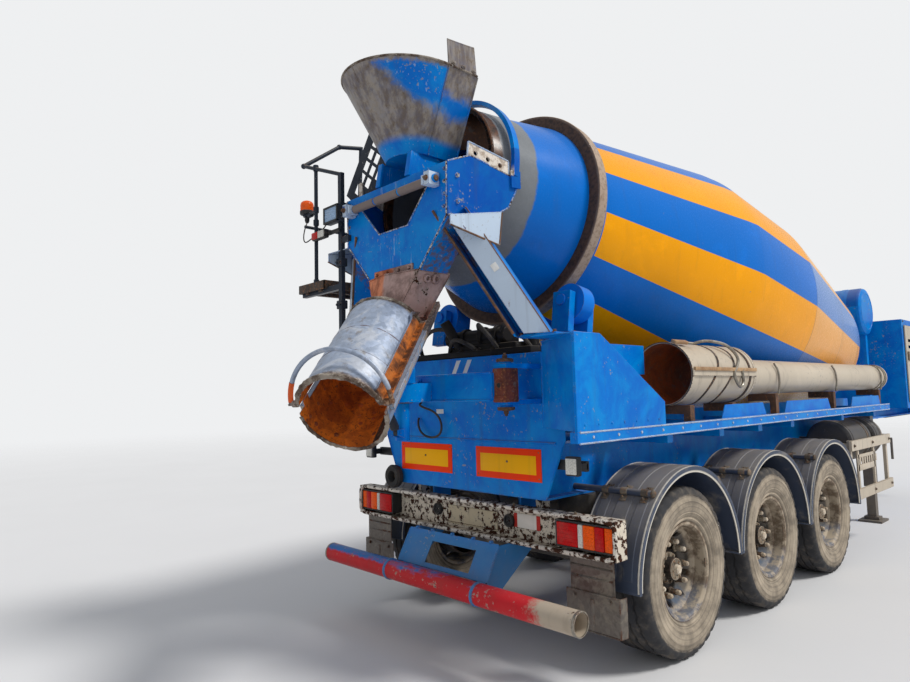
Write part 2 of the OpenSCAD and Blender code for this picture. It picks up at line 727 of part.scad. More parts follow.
hopper_x = -1200;
hopper_half = 410;
hopper_low = 3200;
hopper_t = 6;
flap_top = hopper_top + 190;
module hopper_outline(half, back, front) {
    intersection() {
        union() {
            scale([back / half, 1, 1]) circle(r = half);
            translate([0, -half]) square([front, 2 * half]);
        }
        translate([-2000, -half]) square([2000 + front, 2 * half]);
    }
}

module hopper_body(grow) {
    hull() {
        translate([hopper_x, 0, hopper_top]) linear_extrude(1) hopper_outline(hopper_half + grow, 460 + grow, 250);
        translate([hopper_x, 0, hopper_low]) linear_extrude(1) hopper_outline(180 + grow, 150 + grow, 250);
    }
}

module hopper() {
    color(blue) placed() {
        difference() {
            hopper_body(0);
            translate([0, 0, 2]) hopper_body(-hopper_t);
            block([hopper_x + 242, -500, 3150], [hopper_x + 300, 500, 3800]);
        }
        // flaps on the side edges
        both_sides() side_plate([[hopper_x, hopper_top - 12], [hopper_x + 242, hopper_top - 12], [hopper_x + 225, flap_top],
            [hopper_x - 8, flap_top - 25]], hopper_half - 12, 8);
    }
}

// Funnel under the V plate that leads the concrete to the chute
funnel_z = [2140, 2420];
funnel_r = 170;
funnel_top = [[-60, -255], [-120, 0], [-60, 255], [200, 255], [200, -255]];
module discharge_funnel() {
    color(rust) placed() block([vee_x - 8, -200, funnel_z[1] - 40], [vee_x, 200, funnel_z[1] + 50]);
    color(rust) placed() difference() {
        hull() {
            translate([chute_axis_x, 0, funnel_z[1] - 1]) linear_extrude(1) polygon(funnel_top);
            translate([chute_axis_x, 0, funnel_z[0]]) linear_extrude(1) circle(r = funnel_r, $fn = 24);
        }
        hull() {
            translate([chute_axis_x, 0, funnel_z[1] - 1]) linear_extrude(2) scale(0.96) polygon(funnel_top);
            translate([chute_axis_x, 0, funnel_z[0] - 1]) linear_extrude(1) circle(r = funnel_r - 6, $fn = 24);
        }
    }
}

// Beam across the rear that carries the chute's post
post_r = 45;
beam_end = -620;
// The post turns in a sleeve at the beam's end, and a collar on the post rests on the sleeve
sleeve_z = [1610, 1730];
module chute_beam() {
    color(blue) placed() {
        block([-1120, beam_end, 1615], [-970, 75, 1775]);
        difference() {
            block([chute_axis_x - 80, -75, sleeve_z[0]], [-1120, 75, sleeve_z[1]]);
            translate([chute_axis_x, 0, 1500]) cylinder(h = 400, r = post_r + fit_gap);
        }
        // end pin of the beam in two plates
        translate([-1040, beam_end - 35, 1570]) cylinder(h = 270, r = 40);
        for (z = [1585, 1798]) block([-1085, beam_end - 85, z], [rear_x, beam_end + 30, z + 30]);
    }
}

// Everything that swings with the chute is written straight back, and turned to the parked angle

module swung() { placed() translate([chute_axis_x, 0, 0]) rotate(chute_swing) children(); }

// The chute tilts on a pin in two lugs at the post's head
pin_z = 1850;
pin_r = 15;
lug_y = [58, 70];
jack_foot = [-100, 1430];
jack_pin_r = 10;
module chute_post() {
    color(blue) swung() {
        translate([0, 0, 1370]) cylinder(h = 440, r = post_r);
        translate([0, 0, sleeve_z[1] + fit_gap]) cylinder(h = 80 - fit_gap, r = 85);
        both_sides() difference() {
            side_plate([[60, 1800], [45, 1880], [-45, 1880], [-60, 1800]], lug_y[0], lug_y[1] - lug_y[0]);
            rod_y(0, pin_z, pin_r + fit_gap, lug_y[0] - 1, lug_y[1] + 1);
        }
        // fork for the jack's foot
        both_sides() side_plate([[-20, jack_foot[1] - 45], [-20, jack_foot[1] + 15], [jack_foot[0] - 25, jack_foot[1] + 15],
            [jack_foot[0] - 25, jack_foot[1] - 20]], 14, 12);
        rod_y(jack_foot[0], jack_foot[1], jack_pin_r, -30, 30);
    }
}

// The chute's own frame: its axis starts at the origin, and local -x runs down the chute
module in_chute() { swung() translate([-chute_top[0], 0, chute_top[1]]) rotate([0, -chute_slope, 0]) children(); }
// From a point in the swung frame to the chute's own frame, and back
function to_chute(p) = let (x = p[0] + chute_top[0], z = p[1] - chute_top[1])
    [x * cos(chute_slope) + z * sin(chute_slope), z * cos(chute_slope) - x * sin(chute_slope)];
function from_chute(p) = [p[0] * cos(chute_slope) - p[1] * sin(chute_slope) - chute_top[0],
    p[0] * sin(chute_slope) + p[1] * cos(chute_slope) + chute_top[1]];

trough_up = 300;
chute_t = 5;
// Heights of the trough's edge and of the hood's edge over the chute's axis
slot_z = [10, 55];
handle_s = chute_l - 25;
handle_r = 285;
handle_lean = 22;
pipe_r = 13;
jack_eye = [-320, -chute_r - 34];
module chute_pipe(from, to) {
    translate([from, 0, 0]) rotate([0, -90, 0]) difference() {
        cylinder(h = from - to, r = chute_r);
        translate([0, 0, -1]) cylinder(h = from - to + 2, r = chute_r - chute_t);
    }
}

module chute() {
    tilt_pin = to_chute([0, pin_z]);
    color(steel) in_chute() {
        // trough below, with a bar along each edge
        difference() {
            chute_pipe(trough_up, -chute_l);
            block([-chute_l - 1, -400, slot_z[0]], [trough_up + 1, 400, 400]);
        }
        both_sides() block([-chute_l + 60, chute_r - 2, slot_z[0] - 35], [trough_up, chute_r + 24, slot_z[0]]);
        // hood above, with a bent edge on each side and a rim at the lower end
        difference() {
            union() {
                chute_pipe(0, -chute_l);
                translate([-chute_l + 14, 0, 0]) rotate([0, -90, 0]) difference() {
                    cylinder(h = 14, r = chute_r + chute_rim);
                    translate([0, 0, -1]) cylinder(h = 16, r = chute_r - 1);
                }
            }
            block([-chute_l - 1, -400, -400], [1, 400, slot_z[1]]);
        }
        both_sides() block([-chute_l + 14, chute_r - 12, slot_z[1]], [0, chute_r + 26, slot_z[1] + 5]);
        // straps that join the hood to the trough
        for (x = [-60, -chute_l + 90]) both_sides()
            block([x - 30, chute_r - 8, slot_z[0] - 30], [x + 30, chute_r, slot_z[1] + 5]);
        // handle round the lower end
        translate([-handle_s, 0, slot_z[1]]) rotate([0, 90 + handle_lean, 0]) rotate(90)
            rotate_extrude(angle = 180) translate([handle_r, 0]) circle(r = pipe_r, $fn = 24);
        both_sides() block([-handle_s - 12, chute_r, slot_z[1] - 5], [-handle_s + 12, handle_r + pipe_r, slot_z[1] + 5]);
        // bracket with the tilt pin
        both_sides() side_plate([[tilt_pin[0] - 90, -chute_r + 8], [tilt_pin[0] + 90, -chute_r + 8],
            [tilt_pin[0] + 25, tilt_pin[1] - 25], [tilt_pin[0] - 25, tilt_pin[1] - 25]], 38, 12);
        rod_y(tilt_pin[0], tilt_pin[1], pin_r, -80, 80);
        // fork with the jack's pin
        both_sides() side_plate([[jack_eye[0] - 60, -chute_r + 4], [jack_eye[0] + 60, -chute_r + 4],
            [jack_eye[0] + 18, jack_eye[1] - 18], [jack_eye[0] - 18, jack_eye[1] - 18]], 14, 12);
        rod_y(jack_eye[0], jack_eye[1], jack_pin_r, -30, 30);
    }
}

// Jack: local z runs from the foot's pin to the pin under the chute
jack_top = from_chute(jack_eye);
jack_l = norm(jack_top - jack_foot);
barrel_l = 195;
rod_r = 14;
piston_l = 100;
// Play of the rod's eye on the chute's pin
eye_play = 2;
module in_jack() {
    swung() translate([jack_foot[0], 0, jack_foot[1]])
        rotate([0, atan2(jack_top[0] - jack_foot[0], jack_top[1] - jack_foot[1]), 0]) children();
}

module jack_barrel() {
    color(dark) in_jack() difference() {
        union() {
            rod_y(0, 0, 24, -12, 12);
            translate([0, 0, 46]) cylinder(h = barrel_l - 46, r = 30);
            translate([0, 0, 12]) cylinder(h = 40, r = 11);
        }
        rod_y(0, 0, jack_pin_r + fit_gap, -13, 13);
        translate([0, 0, 50]) cylinder(h = barrel_l - 68, r = 25);
        translate([0, 0, 60]) cylinder(h = barrel_l, r = rod_r + fit_gap);
    }
}

module jack_rod() {
    color(steel) in_jack() difference() {
        union() {
            translate([0, 0, piston_l]) cylinder(h = 18, r = 25 - fit_gap);
            translate([0, 0, piston_l]) cylinder(h = jack_l - piston_l - 14, r = rod_r);
            rod_y(0, jack_l, 24, -12, 12);
        }
        rod_y(0, jack_l, jack_pin_r + eye_play, -13, 13);
    }
}

// Stored chute sections on the right side
spare_y = -1000;
spare_r = 215;
// Rack posts: place along x, and height of the seat
rack_table = [[260, 1545], [900, 1545], [1700, 1600], [3100, 1600], [4600, 1600]];
spare_x = [200, 1200];
spare_z = rack_table[0][1] + spare_r;
end_ring = 30;
module spare_chute() {
    l = spare_x[1] - spare_x[0];
    color(cream) placed() {
        translate([spare_x[0], spare_y + 30, spare_z]) rotate([0, 90, 0]) difference() {
            union() {
                cylinder(h = l, r = spare_r);
                for (s = [0, l - end_ring]) translate([0, 0, s]) cylinder(h = end_ring, r = spare_r + 5);
            }
            translate([0, 0, -1]) cylinder(h = l + 2, r = spare_r - 5);
        }
        // flat bar along the outside
        block([spare_x[0], spare_y + 20 - spare_r, spare_z - 20], [spare_x[1], spare_y + 31 - spare_r, spare_z + 20]);
    }
}

tube_l = 3700;
tube_r = 140;
module spare_tube() {
    color(cream) placed() translate([spare_x[1] + 10, spare_y, rack_table[2][1] + tube_r]) rotate([0, 90, 0]) difference() {
        union() {
            cylinder(h = tube_l, r = tube_r);
            for (s = [0, tube_l - end_ring]) translate([0, 0, s]) cylinder(h = end_ring, r = tube_r + 8);
        }
        translate([0, 0, -1]) cylinder(h = tube_l + 2, r = tube_r - 5);
    }
}

module spare_rack() {
    color(rust) placed() for (r = rack_table) {
        block([r[0], -half_w + rail_w, rail_top - rail_h], [r[0] + 60, -1078, rail_top - 10]);
        block([r[0], -1128, rail_top - rail_h], [r[0] + 60, -1078, r[1] - fit_gap]);
        block([r[0], -1128, r[1] - 60], [r[0] + 60, -900, r[1] - fit_gap]);
    }
}

// Top of the wing at a place along x
function wing_z(x) = wing_top - (x - wing_x[0]) * (wing_top - wing_front) / (wing_x[1] - wing_x[0]);

// Service platform on the left with its handrail
post_x = -1384;
deck_x = [-1400, -900];
deck_y = [760, 1110];
deck_z = 2450;
module platform() {
    color(dark) placed() {
        block([deck_x[0], deck_y[0], deck_z], [deck_x[1], deck_y[1], deck_z + 40]);
        // post, with its arms to the hopper frame and under the plate
        block([-1380, 560, 2120], [vee_x, 600, 3250]);
        for (z = [2740, 2960]) block([-1376, 480, z], [vee_x, 590, z + 40]);
        block([-1376, 570, 2412], [-1340, 1106, 2452]);
        // handrail
        bar([post_x, 890, 2480], [post_x, 890, 3366], 14);
        bar([-1366, 580, 3240], [-1400, 1040, 3420], 14);
        bar([-1400, 1040, 3420], [-1080, 1040, 3650], 16);
        translate([-1400, 1040, 3420]) sphere(r = 21, $fn = 20);
        bar([-1080, 1040, 3650], [-870, 1040, 3690], 16);
        translate([-1080, 1040, 3650]) sphere(r = 21, $fn = 20);
        bar([-870, 1040, 3700], [-920, 1040, 2470], 16);
        bar([-1392, 1040, 2950], [-906, 1040, 2950], 12);
        // steps from the wing up to the plate
        block([-940, 1000, wing_top + foot_t], [-910, 1040, deck_z]);
        side_plate([[-650, wing_z(-650)], [-620, wing_z(-620)], [-620, deck_z], [-650, deck_z]], 1000, 40);
        block([-940, 1000, deck_z], [-620, 1040, deck_z + 30]);
        for (z = [2120, 2290]) block([-940, 1005, z], [-620, 1035, z + 20]);
        // arm and seat of the beacon
        bar([post_x, 890, 3048], [-1350, 1080, 3048], 9);
        translate([-1350, 1080, 3040]) cylinder(h = 20, r = 30);
    }
}

// Work lamp on the post
module work_lamp() {
    color(dark) placed() {
        block([-1410, 575, 2915], [-1380, 595, 2940]);
        block([-1462, 475, 2870], [-1410, 650, 2985]);
    }
}

module beacon() { color("orange") placed() translate([-1350, 1080, 3060]) cylinder(h = 110, r = 55); }

// Water tank across the front, on two posts
water_x = 6120;
water_z = 2640;
module water_tank() {
    color(blue) placed() {
        translate([water_x, tank_l / 2, water_z]) rotate([90, 0, 0]) rotate_extrude() polygon([[0, 0], [tank_r - 60, 0],
            [tank_r - 15, 15], [tank_r, 50], [tank_r, tank_l - 50], [tank_r - 15, tank_l - 15], [tank_r - 60, tank_l], [0, tank_l]]);
        both_sides() block([water_x - 40, beam_y - 70, beam_top], [water_x + 40, beam_y, water_z - tank_r + 90]);
    }
}

// Engine cabinet on the gooseneck, open inside, with a door on each side
cab_x = front_x - 100 - cabinet_l;
module engine_cabinet() {
    color(blue) placed() both_sides() hinge_pins();
    color(blue) placed() difference() {
        block([cab_x, -cabinet_half, beam_top], [cab_x + cabinet_l, cabinet_half, cabinet_top]);
        block([cab_x + 20, -cabinet_half + 20, beam_top + 20], [cab_x + cabinet_l - 20, cabinet_half - 20, cabinet_top - 20]);
        both_sides() block([cab_x + 120, cabinet_half - 30, beam_top + 120], [cab_x + cabinet_l - 120, cabinet_half + 10, cabinet_top - 120]);
    }
}

// Door hinges: pins outside the door's front edge
door_t = 14;
door_gap = 5;
door_x = [cab_x + 80, cab_x + cabinet_l - 80];
door_z = [beam_top + 80, cabinet_top - 80];
hinge_x = door_x[1] + 14;
hinge_y = cabinet_half + door_gap + door_t + 8;
hinge_h = 120;
hinge_z = [door_z[0] + 150, door_z[1] - 150 - hinge_h];
hinge_r = 8;
module hinge_pins() {
    for (z = hinge_z) {
        translate([hinge_x, hinge_y, z - 14]) cylinder(h = hinge_h + 28, r = hinge_r);
        for (dz = [-14, hinge_h + 2]) block([hinge_x - 6, cabinet_half, z + dz], [hinge_x + 26, hinge_y + 10, z + dz + 12]);
    }
}

// Louvre slots: rows, and the height of each
louvres = [9, 40];
module door_leaf() {
    difference() {
        block([door_x[0], cabinet_half + door_gap, door_z[0]], [door_x[1], cabinet_half + door_gap + door_t, door_z[1]]);
        for (i = [0:louvres[0] - 1], x = [door_x[0] + 120, door_x[0] + 600])
            translate([x, cabinet_half, door_z[0] + 120 + i * 2.2 * louvres[1]]) cube([400, 40, louvres[1]]);
    }
    for (z = hinge_z) difference() {
        union() {
            translate([hinge_x, hinge_y, z]) cylinder(h = hinge_h, r = 14);
            block([hinge_x - 60, cabinet_half + door_gap + door_t - 1, z], [hinge_x, hinge_y + 6, z + hinge_h]);
        }
        translate([hinge_x, hinge_y, z - 1]) cylinder(h = hinge_h + 2, r = hinge_r + fit_gap);
    }
}

module cabinet_door(side) { color(cream) placed() mirror([0, side > 0 ? 0 : 1, 0]) door_leaf(); }

engine_x = [cab_x + 250, cab_x + 1050];
engine_half = 300;
engine_h = 780;
module engine_block() {
    color(dark) placed() block([engine_x[0], -engine_half, beam_top + 20],
        [engine_x[1], engine_half, beam_top + 20 + engine_h]);
}

main_frame();
side_rails();
coupler_plate();
kingpin();
rear_body();
marking_boards();
lamp_bar();
rear_lamps();
underrun_bar();
underrun_bracket();
mud_flaps();
axles();
air_springs();
axle_hangers();
wheel(axle_table[0][1], -1);  // wheel_1_right
wheel(axle_table[0][1], 1);  // wheel_1_left
wheel(axle_table[1][1], -1);  // wheel_2_right
wheel(axle_table[1][1], 1);  // wheel_2_left
wheel(axle_table[2][1], -1);  // wheel_3_right
wheel(axle_table[2][1], 1);  // wheel_3_left
tyre(axle_table[0][1], -1);  // tyre_1_right
tyre(axle_table[0][1], 1);  // tyre_1_left
tyre(axle_table[1][1], -1);  // tyre_2_right
tyre(axle_table[1][1], 1);  // tyre_2_left
tyre(axle_table[2][1], -1);  // tyre_3_right
tyre(axle_table[2][1], 1);  // tyre_3_left
mudguards();
side_guards();
round_tanks();
landing_legs();
front_pedestal();
gearbox();
roller_bridge();
roller(-1);  // roller_right
roller(1);  // roller_left
drum_shell();
drum_ring();
drum_blades();
hopper_frame();
slotted_screen();
mouth_arch();
hopper();
discharge_funnel();
chute_beam();
chute_post();
chute();
jack_barrel();
jack_rod();
spare_chute();
spare_tube();
spare_rack();
platform();
beacon();
work_lamp();
water_tank();
engine_cabinet();
cabinet_door(-1);  // cabinet_door_right
cabinet_door(1);  // cabinet_door_left
engine_block();
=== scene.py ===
"""Concrete mixer semi-trailer: finishes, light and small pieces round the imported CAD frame. Metres."""

import json
import random
from math import acos, atan2, cos, pi, radians, sin

import bmesh
import bpy
from mathutils import Matrix, Vector


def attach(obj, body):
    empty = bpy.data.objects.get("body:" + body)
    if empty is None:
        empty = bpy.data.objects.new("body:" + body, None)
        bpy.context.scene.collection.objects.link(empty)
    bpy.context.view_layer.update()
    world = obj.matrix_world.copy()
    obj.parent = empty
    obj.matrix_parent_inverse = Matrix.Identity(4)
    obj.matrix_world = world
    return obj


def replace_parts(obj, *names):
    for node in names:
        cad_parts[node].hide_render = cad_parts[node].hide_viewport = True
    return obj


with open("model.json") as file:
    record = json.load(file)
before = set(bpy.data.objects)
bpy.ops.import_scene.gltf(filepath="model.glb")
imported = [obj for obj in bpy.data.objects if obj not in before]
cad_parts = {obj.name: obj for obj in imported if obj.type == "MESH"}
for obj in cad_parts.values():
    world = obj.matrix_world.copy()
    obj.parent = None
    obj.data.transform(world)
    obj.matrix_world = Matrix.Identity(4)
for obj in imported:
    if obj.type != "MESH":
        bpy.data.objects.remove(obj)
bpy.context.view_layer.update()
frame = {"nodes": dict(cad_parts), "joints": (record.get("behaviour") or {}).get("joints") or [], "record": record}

# Row x of the rearmost axle, from which the measures below count
REAR_AXLE = -2.89603
FROM_AXLE = Matrix.Translation((REAR_AXLE, 0, 0))
SIDES = {"right": -1, "left": 1}


def at(x, y, z):
    """A point given from the rearmost axle, in the row frame."""
    return Vector((x + REAR_AXLE, y, z))


def angles(first, last, steps):
    """Angles in radians from first to last, which are in degrees."""
    return [radians(first + (last - first) * k / steps) for k in range(steps + 1)]


def full_turn(count):
    return [2 * pi * k / count for k in range(count)]


def linked(name, data):
    """A new object in the scene."""
    made = bpy.data.objects.new(name, data)
    bpy.context.scene.collection.objects.link(made)
    return made


# Camera, from the photograph's vanishing points
CAMERA_PLACE = at(-3.867, -3.272, 1.649)
CAMERA_YAW, CAMERA_PITCH, CAMERA_ROLL = (radians(a) for a in (47.133, 4.762, -1.353))
CAMERA_LENS = 25.69


def make_camera():
    """Camera at the photograph's place and angle."""
    camera = linked("photo_camera", bpy.data.cameras.new("photo_camera"))
    look = Vector((cos(CAMERA_YAW) * cos(CAMERA_PITCH), sin(CAMERA_YAW) * cos(CAMERA_PITCH),
                   sin(CAMERA_PITCH)))
    level = Vector((sin(CAMERA_YAW), -cos(CAMERA_YAW), 0))
    above = level.cross(look)
    right = level * cos(CAMERA_ROLL) + above * sin(CAMERA_ROLL)
    up = above * cos(CAMERA_ROLL) - level * sin(CAMERA_ROLL)
    turn = Matrix((right, up, -look)).transposed()
    camera.matrix_world = Matrix.Translation(CAMERA_PLACE) @ turn.to_4x4()
    camera.data.lens = CAMERA_LENS
    camera.data.sensor_width = 36
    camera.data.clip_end = 200
    bpy.context.scene.camera = camera


def rgb(r, g, b):
    """A colour read as 0 to 255 in sRGB, as the linear values that nodes take."""
    def linear(c):
        c /= 255
        return c / 12.92 if c <= 0.04045 else ((c + 0.055) / 1.055) ** 2.4
    return (linear(r), linear(g), linear(b), 1)


class Value:
    """An output of a material's nodes, which sums and products take like a number."""

    def __init__(self, graph, socket):
        self.graph, self.socket = graph, socket

    def __add__(self, other):
        return self.graph.math("ADD", self, other)

    def __sub__(self, other):
        return self.graph.math("SUBTRACT", self, other)

    def __mul__(self, other):
        return self.graph.math("MULTIPLY", self, other)

    def __truediv__(self, other):
        return self.graph.math("DIVIDE", self, other)

    def __abs__(self):
        return self.graph.math("ABSOLUTE", self)

    def larger(self, other):
        return self.graph.math("MAXIMUM", self, other)

    def step(self, low, high):
        """0 below low, 1 above high, smooth between."""
        inputs = {"Value": self, "From Min": low, "From Max": high}
        return self.graph.add("ShaderNodeMapRange", 0, inputs, interpolation_type="SMOOTHSTEP")

    def spread(self, low, high):
        """0 to 1 stretched to low to high."""
        return self.graph.add("ShaderNodeMapRange", 0, {"Value": self, "To Min": low, "To Max": high})

    def axis(self, name):
        return self.graph.add("ShaderNodeSeparateXYZ", name, {0: self})

    def minus(self, point):
        return self.graph.vector("SUBTRACT", self, tuple(point))

    def times(self, factors):
        return self.graph.vector("MULTIPLY", self, factors)

    def along(self, axis):
        """How far this vector reaches along a unit axis."""
        return self.graph.vector("DOT_PRODUCT", self, tuple(axis), "Value")

    def length(self):
        return self.graph.vector("LENGTH", self, output="Value")


def paint(colour):
    """What a colour socket takes: linear values for a colour of 0 to 255, or the nodes' own."""
    return colour if isinstance(colour, Value) else rgb(*colour)


class Graph:
    """Short calls that build one procedural material, or the world."""

    def __init__(self, name, collection=bpy.data.materials):
        self.owner = collection.new(name)
        self.owner.use_nodes = True
        self.tree = self.owner.node_tree
        self.tree.nodes.clear()
        self.place = self.add("ShaderNodeTexCoord", "Object")

    def node(self, kind, inputs, **settings):
        node = self.tree.nodes.new(kind)
        for key, value in settings.items():
            setattr(node, key, value)
        for key, value in inputs.items():
            self.feed(node.inputs[key], value)
        return node

    def add(self, kind, output=0, inputs=None, **settings):
        """A new node's output."""
        return Value(self, self.node(kind, inputs or {}, **settings).outputs[output])

    def feed(self, socket, value):
        if isinstance(value, Value):
            self.tree.links.new(value.socket, socket)
        else:
            socket.default_value = value[:3] if socket.type == "VECTOR" else value

    def math(self, operation, a, b=0.0):
        return self.add("ShaderNodeMath", 0, {0: a, 1: b}, operation=operation)

    def vector(self, operation, a, b=(0, 0, 0), output="Vector"):
        return self.add("ShaderNodeVectorMath", output, {0: a, 1: b}, operation=operation)

    def noise(self, scale, detail=5.0, rough=0.55, stretch=(1, 1, 1), warp=0.0):
        inputs = {"Vector": self.place.times(stretch), "Scale": scale, "Detail": detail, "Roughness": rough,
                  "Distortion": warp}
        return self.add("ShaderNodeTexNoise", "Fac", inputs)

    def cells(self, scale, output="Distance"):
        return self.add("ShaderNodeTexVoronoi", output, {"Vector": self.place, "Scale": scale})

    def mix(self, share, a, b):
        inputs = {0: share, 6: paint(a), 7: paint(b)}
        return self.add("ShaderNodeMix", 2, inputs, data_type="RGBA", clamp_factor=True)

    def tint(self, colour, low, high, share):
        """colour times low to high, as share goes from 0 to 1."""
        inputs = {0: paint(colour), 3: share.spread(low, high)}
        return self.add("ShaderNodeVectorMath", 0, inputs, operation="SCALE")

    def normal(self):
        return self.add("ShaderNodeNewGeometry", "Normal")

    def edges(self, radius=0.006):
        """1 on sharp outer edges, 0 on flat faces."""
        rounded = self.add("ShaderNodeBevel", 0, {"Radius": radius}, samples=3)
        return self.vector("DOT_PRODUCT", rounded, self.normal(), "Value").step(0.985, 0.86)

    def facing_up(self, low=0.25, high=0.95):
        return self.normal().axis("Z").step(low, high)

    def finish(self, colour, rough, height, strength=0.4, depth=0.002, **constants):
        shader = self.node("ShaderNodeBsdfPrincipled", {"Base Color": colour, "Roughness": rough})
        for key, value in constants.items():
            shader.inputs[key.replace("_", " ")].default_value = value
        bump = self.add("ShaderNodeBump", 0, {"Height": height, "Strength": strength, "Distance": depth})
        self.feed(shader.inputs["Normal"], bump)
        self.node("ShaderNodeOutputMaterial", {"Surface": Value(self, shader.outputs[0])})
        return self.owner


# Colours of the weather on it
DUST = (150, 138, 122)
CEMENT = (156, 152, 145)
RUST = (112, 58, 28)
DARK_RUST = (62, 36, 24)
PRIMER = (168, 160, 150)


def worn_paint(name, colour, under=RUST, rough=0.3, chips=0.5, dust=0.4, splash=0.3, streaks=0.3, low=1.2,
               coat=0.03, grain=1.0):
    """Paint with uneven colour, chipped edges, dust on top faces, runs and dried cement spots.

    colour may be a function of the graph, for a pattern. low is the height under which road dirt gathers,
    and grain makes the chips finer."""
    g = Graph(name)
    base = colour(g) if callable(colour) else colour
    fine = g.noise(70, 4, 0.6)
    middle = g.noise(11 * grain, 8, 0.68)
    base = g.tint(base, 0.82, 1.16, g.noise(1.1, 3))
    # thin scratches and rubbed patches
    rub = g.noise(3.2, 6, 0.7, warp=0.6).step(0.52, 0.7)
    base = g.mix(rub * 0.22, base, g.tint(base, 1.3, 1.6, fine))
    # runs of dirt down the sides
    run = g.noise(9, 4, 0.6, stretch=(1.6, 1.6, 0.09)).step(0.53, 0.74)
    base = g.mix(run * (streaks * 0.6), base, (74, 66, 58))
    # dust where it can lie, and road dirt low down
    lying = g.facing_up() * middle.spread(0.35, 1.1)
    road = g.place.axis("Z").step(low, low - 0.9) * g.noise(4.5, 6, 0.65).spread(0.1, 1.2)
    dusty = lying.larger(road) * dust
    base = g.mix(dusty, base, DUST)
    # dried cement
    spots = (g.noise(38, 6, 0.7) + g.noise(2.3, 4) * 0.5).step(0.98 - 0.22 * splash, 1.04 - 0.22 * splash)
    base = g.mix(spots * 0.85, base, g.tint(CEMENT, 0.8, 1.15, fine))
    # chips, most along edges
    worn = middle + g.edges() * (0.3 * chips) + g.noise(1.7, 3) * 0.16
    limit = 0.9 - 0.14 * chips
    bare = worn.step(limit, limit + 0.02)
    base = g.mix(worn.step(limit - 0.03, limit) * 0.6, base, PRIMER)
    base = g.mix(bare, base, g.mix(fine.step(0.4, 0.6), under, DARK_RUST))
    gloss = fine.spread(rough - 0.05, rough + 0.1) + dusty.larger(spots) * 0.4
    bumps = spots * 0.9 + fine * 0.12 - bare * 0.5
    return g.finish(base, gloss.larger(bare * 0.75), bumps, Coat_Weight=coat, Coat_Roughness=0.18,
                    Specular_IOR_Level=0.10)


# Drum stripes: angle from the top towards the right side, in degrees, where each begins
STRIPES_SEEN = [46.6, 70.1, 93.4, 117.0, 139.6]
STRIPE_COUNT = 16
BLUE = (0, 110, 204)
YELLOW = (250, 166, 0)


def stripe_angles():
    """Where each stripe begins, with the unseen ones spaced evenly."""
    unseen = STRIPE_COUNT - len(STRIPES_SEEN) + 1
    pitch = (360 - STRIPES_SEEN[-1] + STRIPES_SEEN[0]) / unseen
    return STRIPES_SEEN + [STRIPES_SEEN[-1] + pitch * i for i in range(1, unseen)]


def blue_places(g):
    """Azure, bare grey-brown on most of the hopper, other blues and rust on the V frame and low down, and painted
    shade on the V frame's side plates.
    """
    x, y, z = (g.place.axis(k) for k in "XYZ")
    x = x - REAR_AXLE
    middle = g.noise(4.2, 8, 0.7, warp=0.5)
    fine = g.noise(26, 8, 0.72)
    base = g.mix(middle.step(0.35, 0.65), (0, 108, 204), (0, 136, 216))
    # hopper: bare left of a ragged line, on the side sheets, and in a band under the rim
    streaky = g.noise(15, 7, 0.7, stretch=(1, 1, 0.22))
    bare = g.mix(streaky.step(0.40, 0.62), (150, 140, 128), (112, 100, 90))
    bare = g.mix(fine.step(0.56, 0.70) * 0.6, bare, (84, 70, 60))
    left = (y + (z - 3.46) * -0.45 + middle.spread(-0.16, 0.16)).step(-0.34, -0.24)
    side_sheet = x.step(-1.215, -1.195) * (z + middle.spread(-0.12, 0.12)).step(3.50, 3.58)
    rim = (z + fine.spread(-0.03, 0.03)).step(3.68, 3.705)
    worn = left.larger(side_sheet).larger(rim) * z.step(3.26, 3.32) * x.step(-0.80, -0.85)
    # scratches down the V plate
    scratch = g.noise(30, 5, 0.7, stretch=(1, 1, 0.12)).step(0.60, 0.68)
    plate = x.step(-1.15, -1.20) * z.step(2.30, 2.45)
    base = g.mix(scratch * plate * 0.6, base, (190, 200, 210))
    # painted shade: a darker blue on the side plates of the V frame; and their pale strip with the holes
    out = abs(y)
    high = z + (x + 1.34) * (1.0205 * 0.276)
    shaded_side_plate = out.step(0.520, 0.524) * out.step(0.66, 0.655) * z.step(2.690, 2.695) * z.step(3.20, 3.19)
    base = g.mix(shaded_side_plate * 0.6, base, (4, 56, 150))
    holed = out.step(0.51, 0.515) * high.step(3.128, 3.134) * z.step(2.99, 2.995) * x.step(-0.885, -0.895)
    base = g.mix(holed, base, g.mix(fine.step(0.45, 0.6), (226, 216, 204), (176, 160, 144)))
    # rusty lower wall of the V frame
    under = z.step(2.415, 2.42) * z.step(2.705, 2.70) * x.step(-1.343, -1.339) * out.step(0.53, 0.525)
    under = under * x.step(-1.10, -1.12) * fine.step(0.42, 0.58)
    base = g.mix(under * 0.8, base, (120, 92, 66))
    # greener low down
    base = g.mix(z.step(0.80, 0.66) * 0.8, base, (0, 116, 178))
    return g.mix(worn * fine.spread(0.75, 1.15), base, bare)


DRUM_AXIS = Vector(next(j for j in frame["joints"] if j["name"] == "drum_spin")["axis"]).normalized()
DRUM_UP = Vector((-DRUM_AXIS.z, 0, DRUM_AXIS.x))
RING_CENTRE = at(-0.18, 0, 2.966)
# Weld seams round the drum, as distances along its axis from the ring
DRUM_SEAMS = (3.15, 4.35)


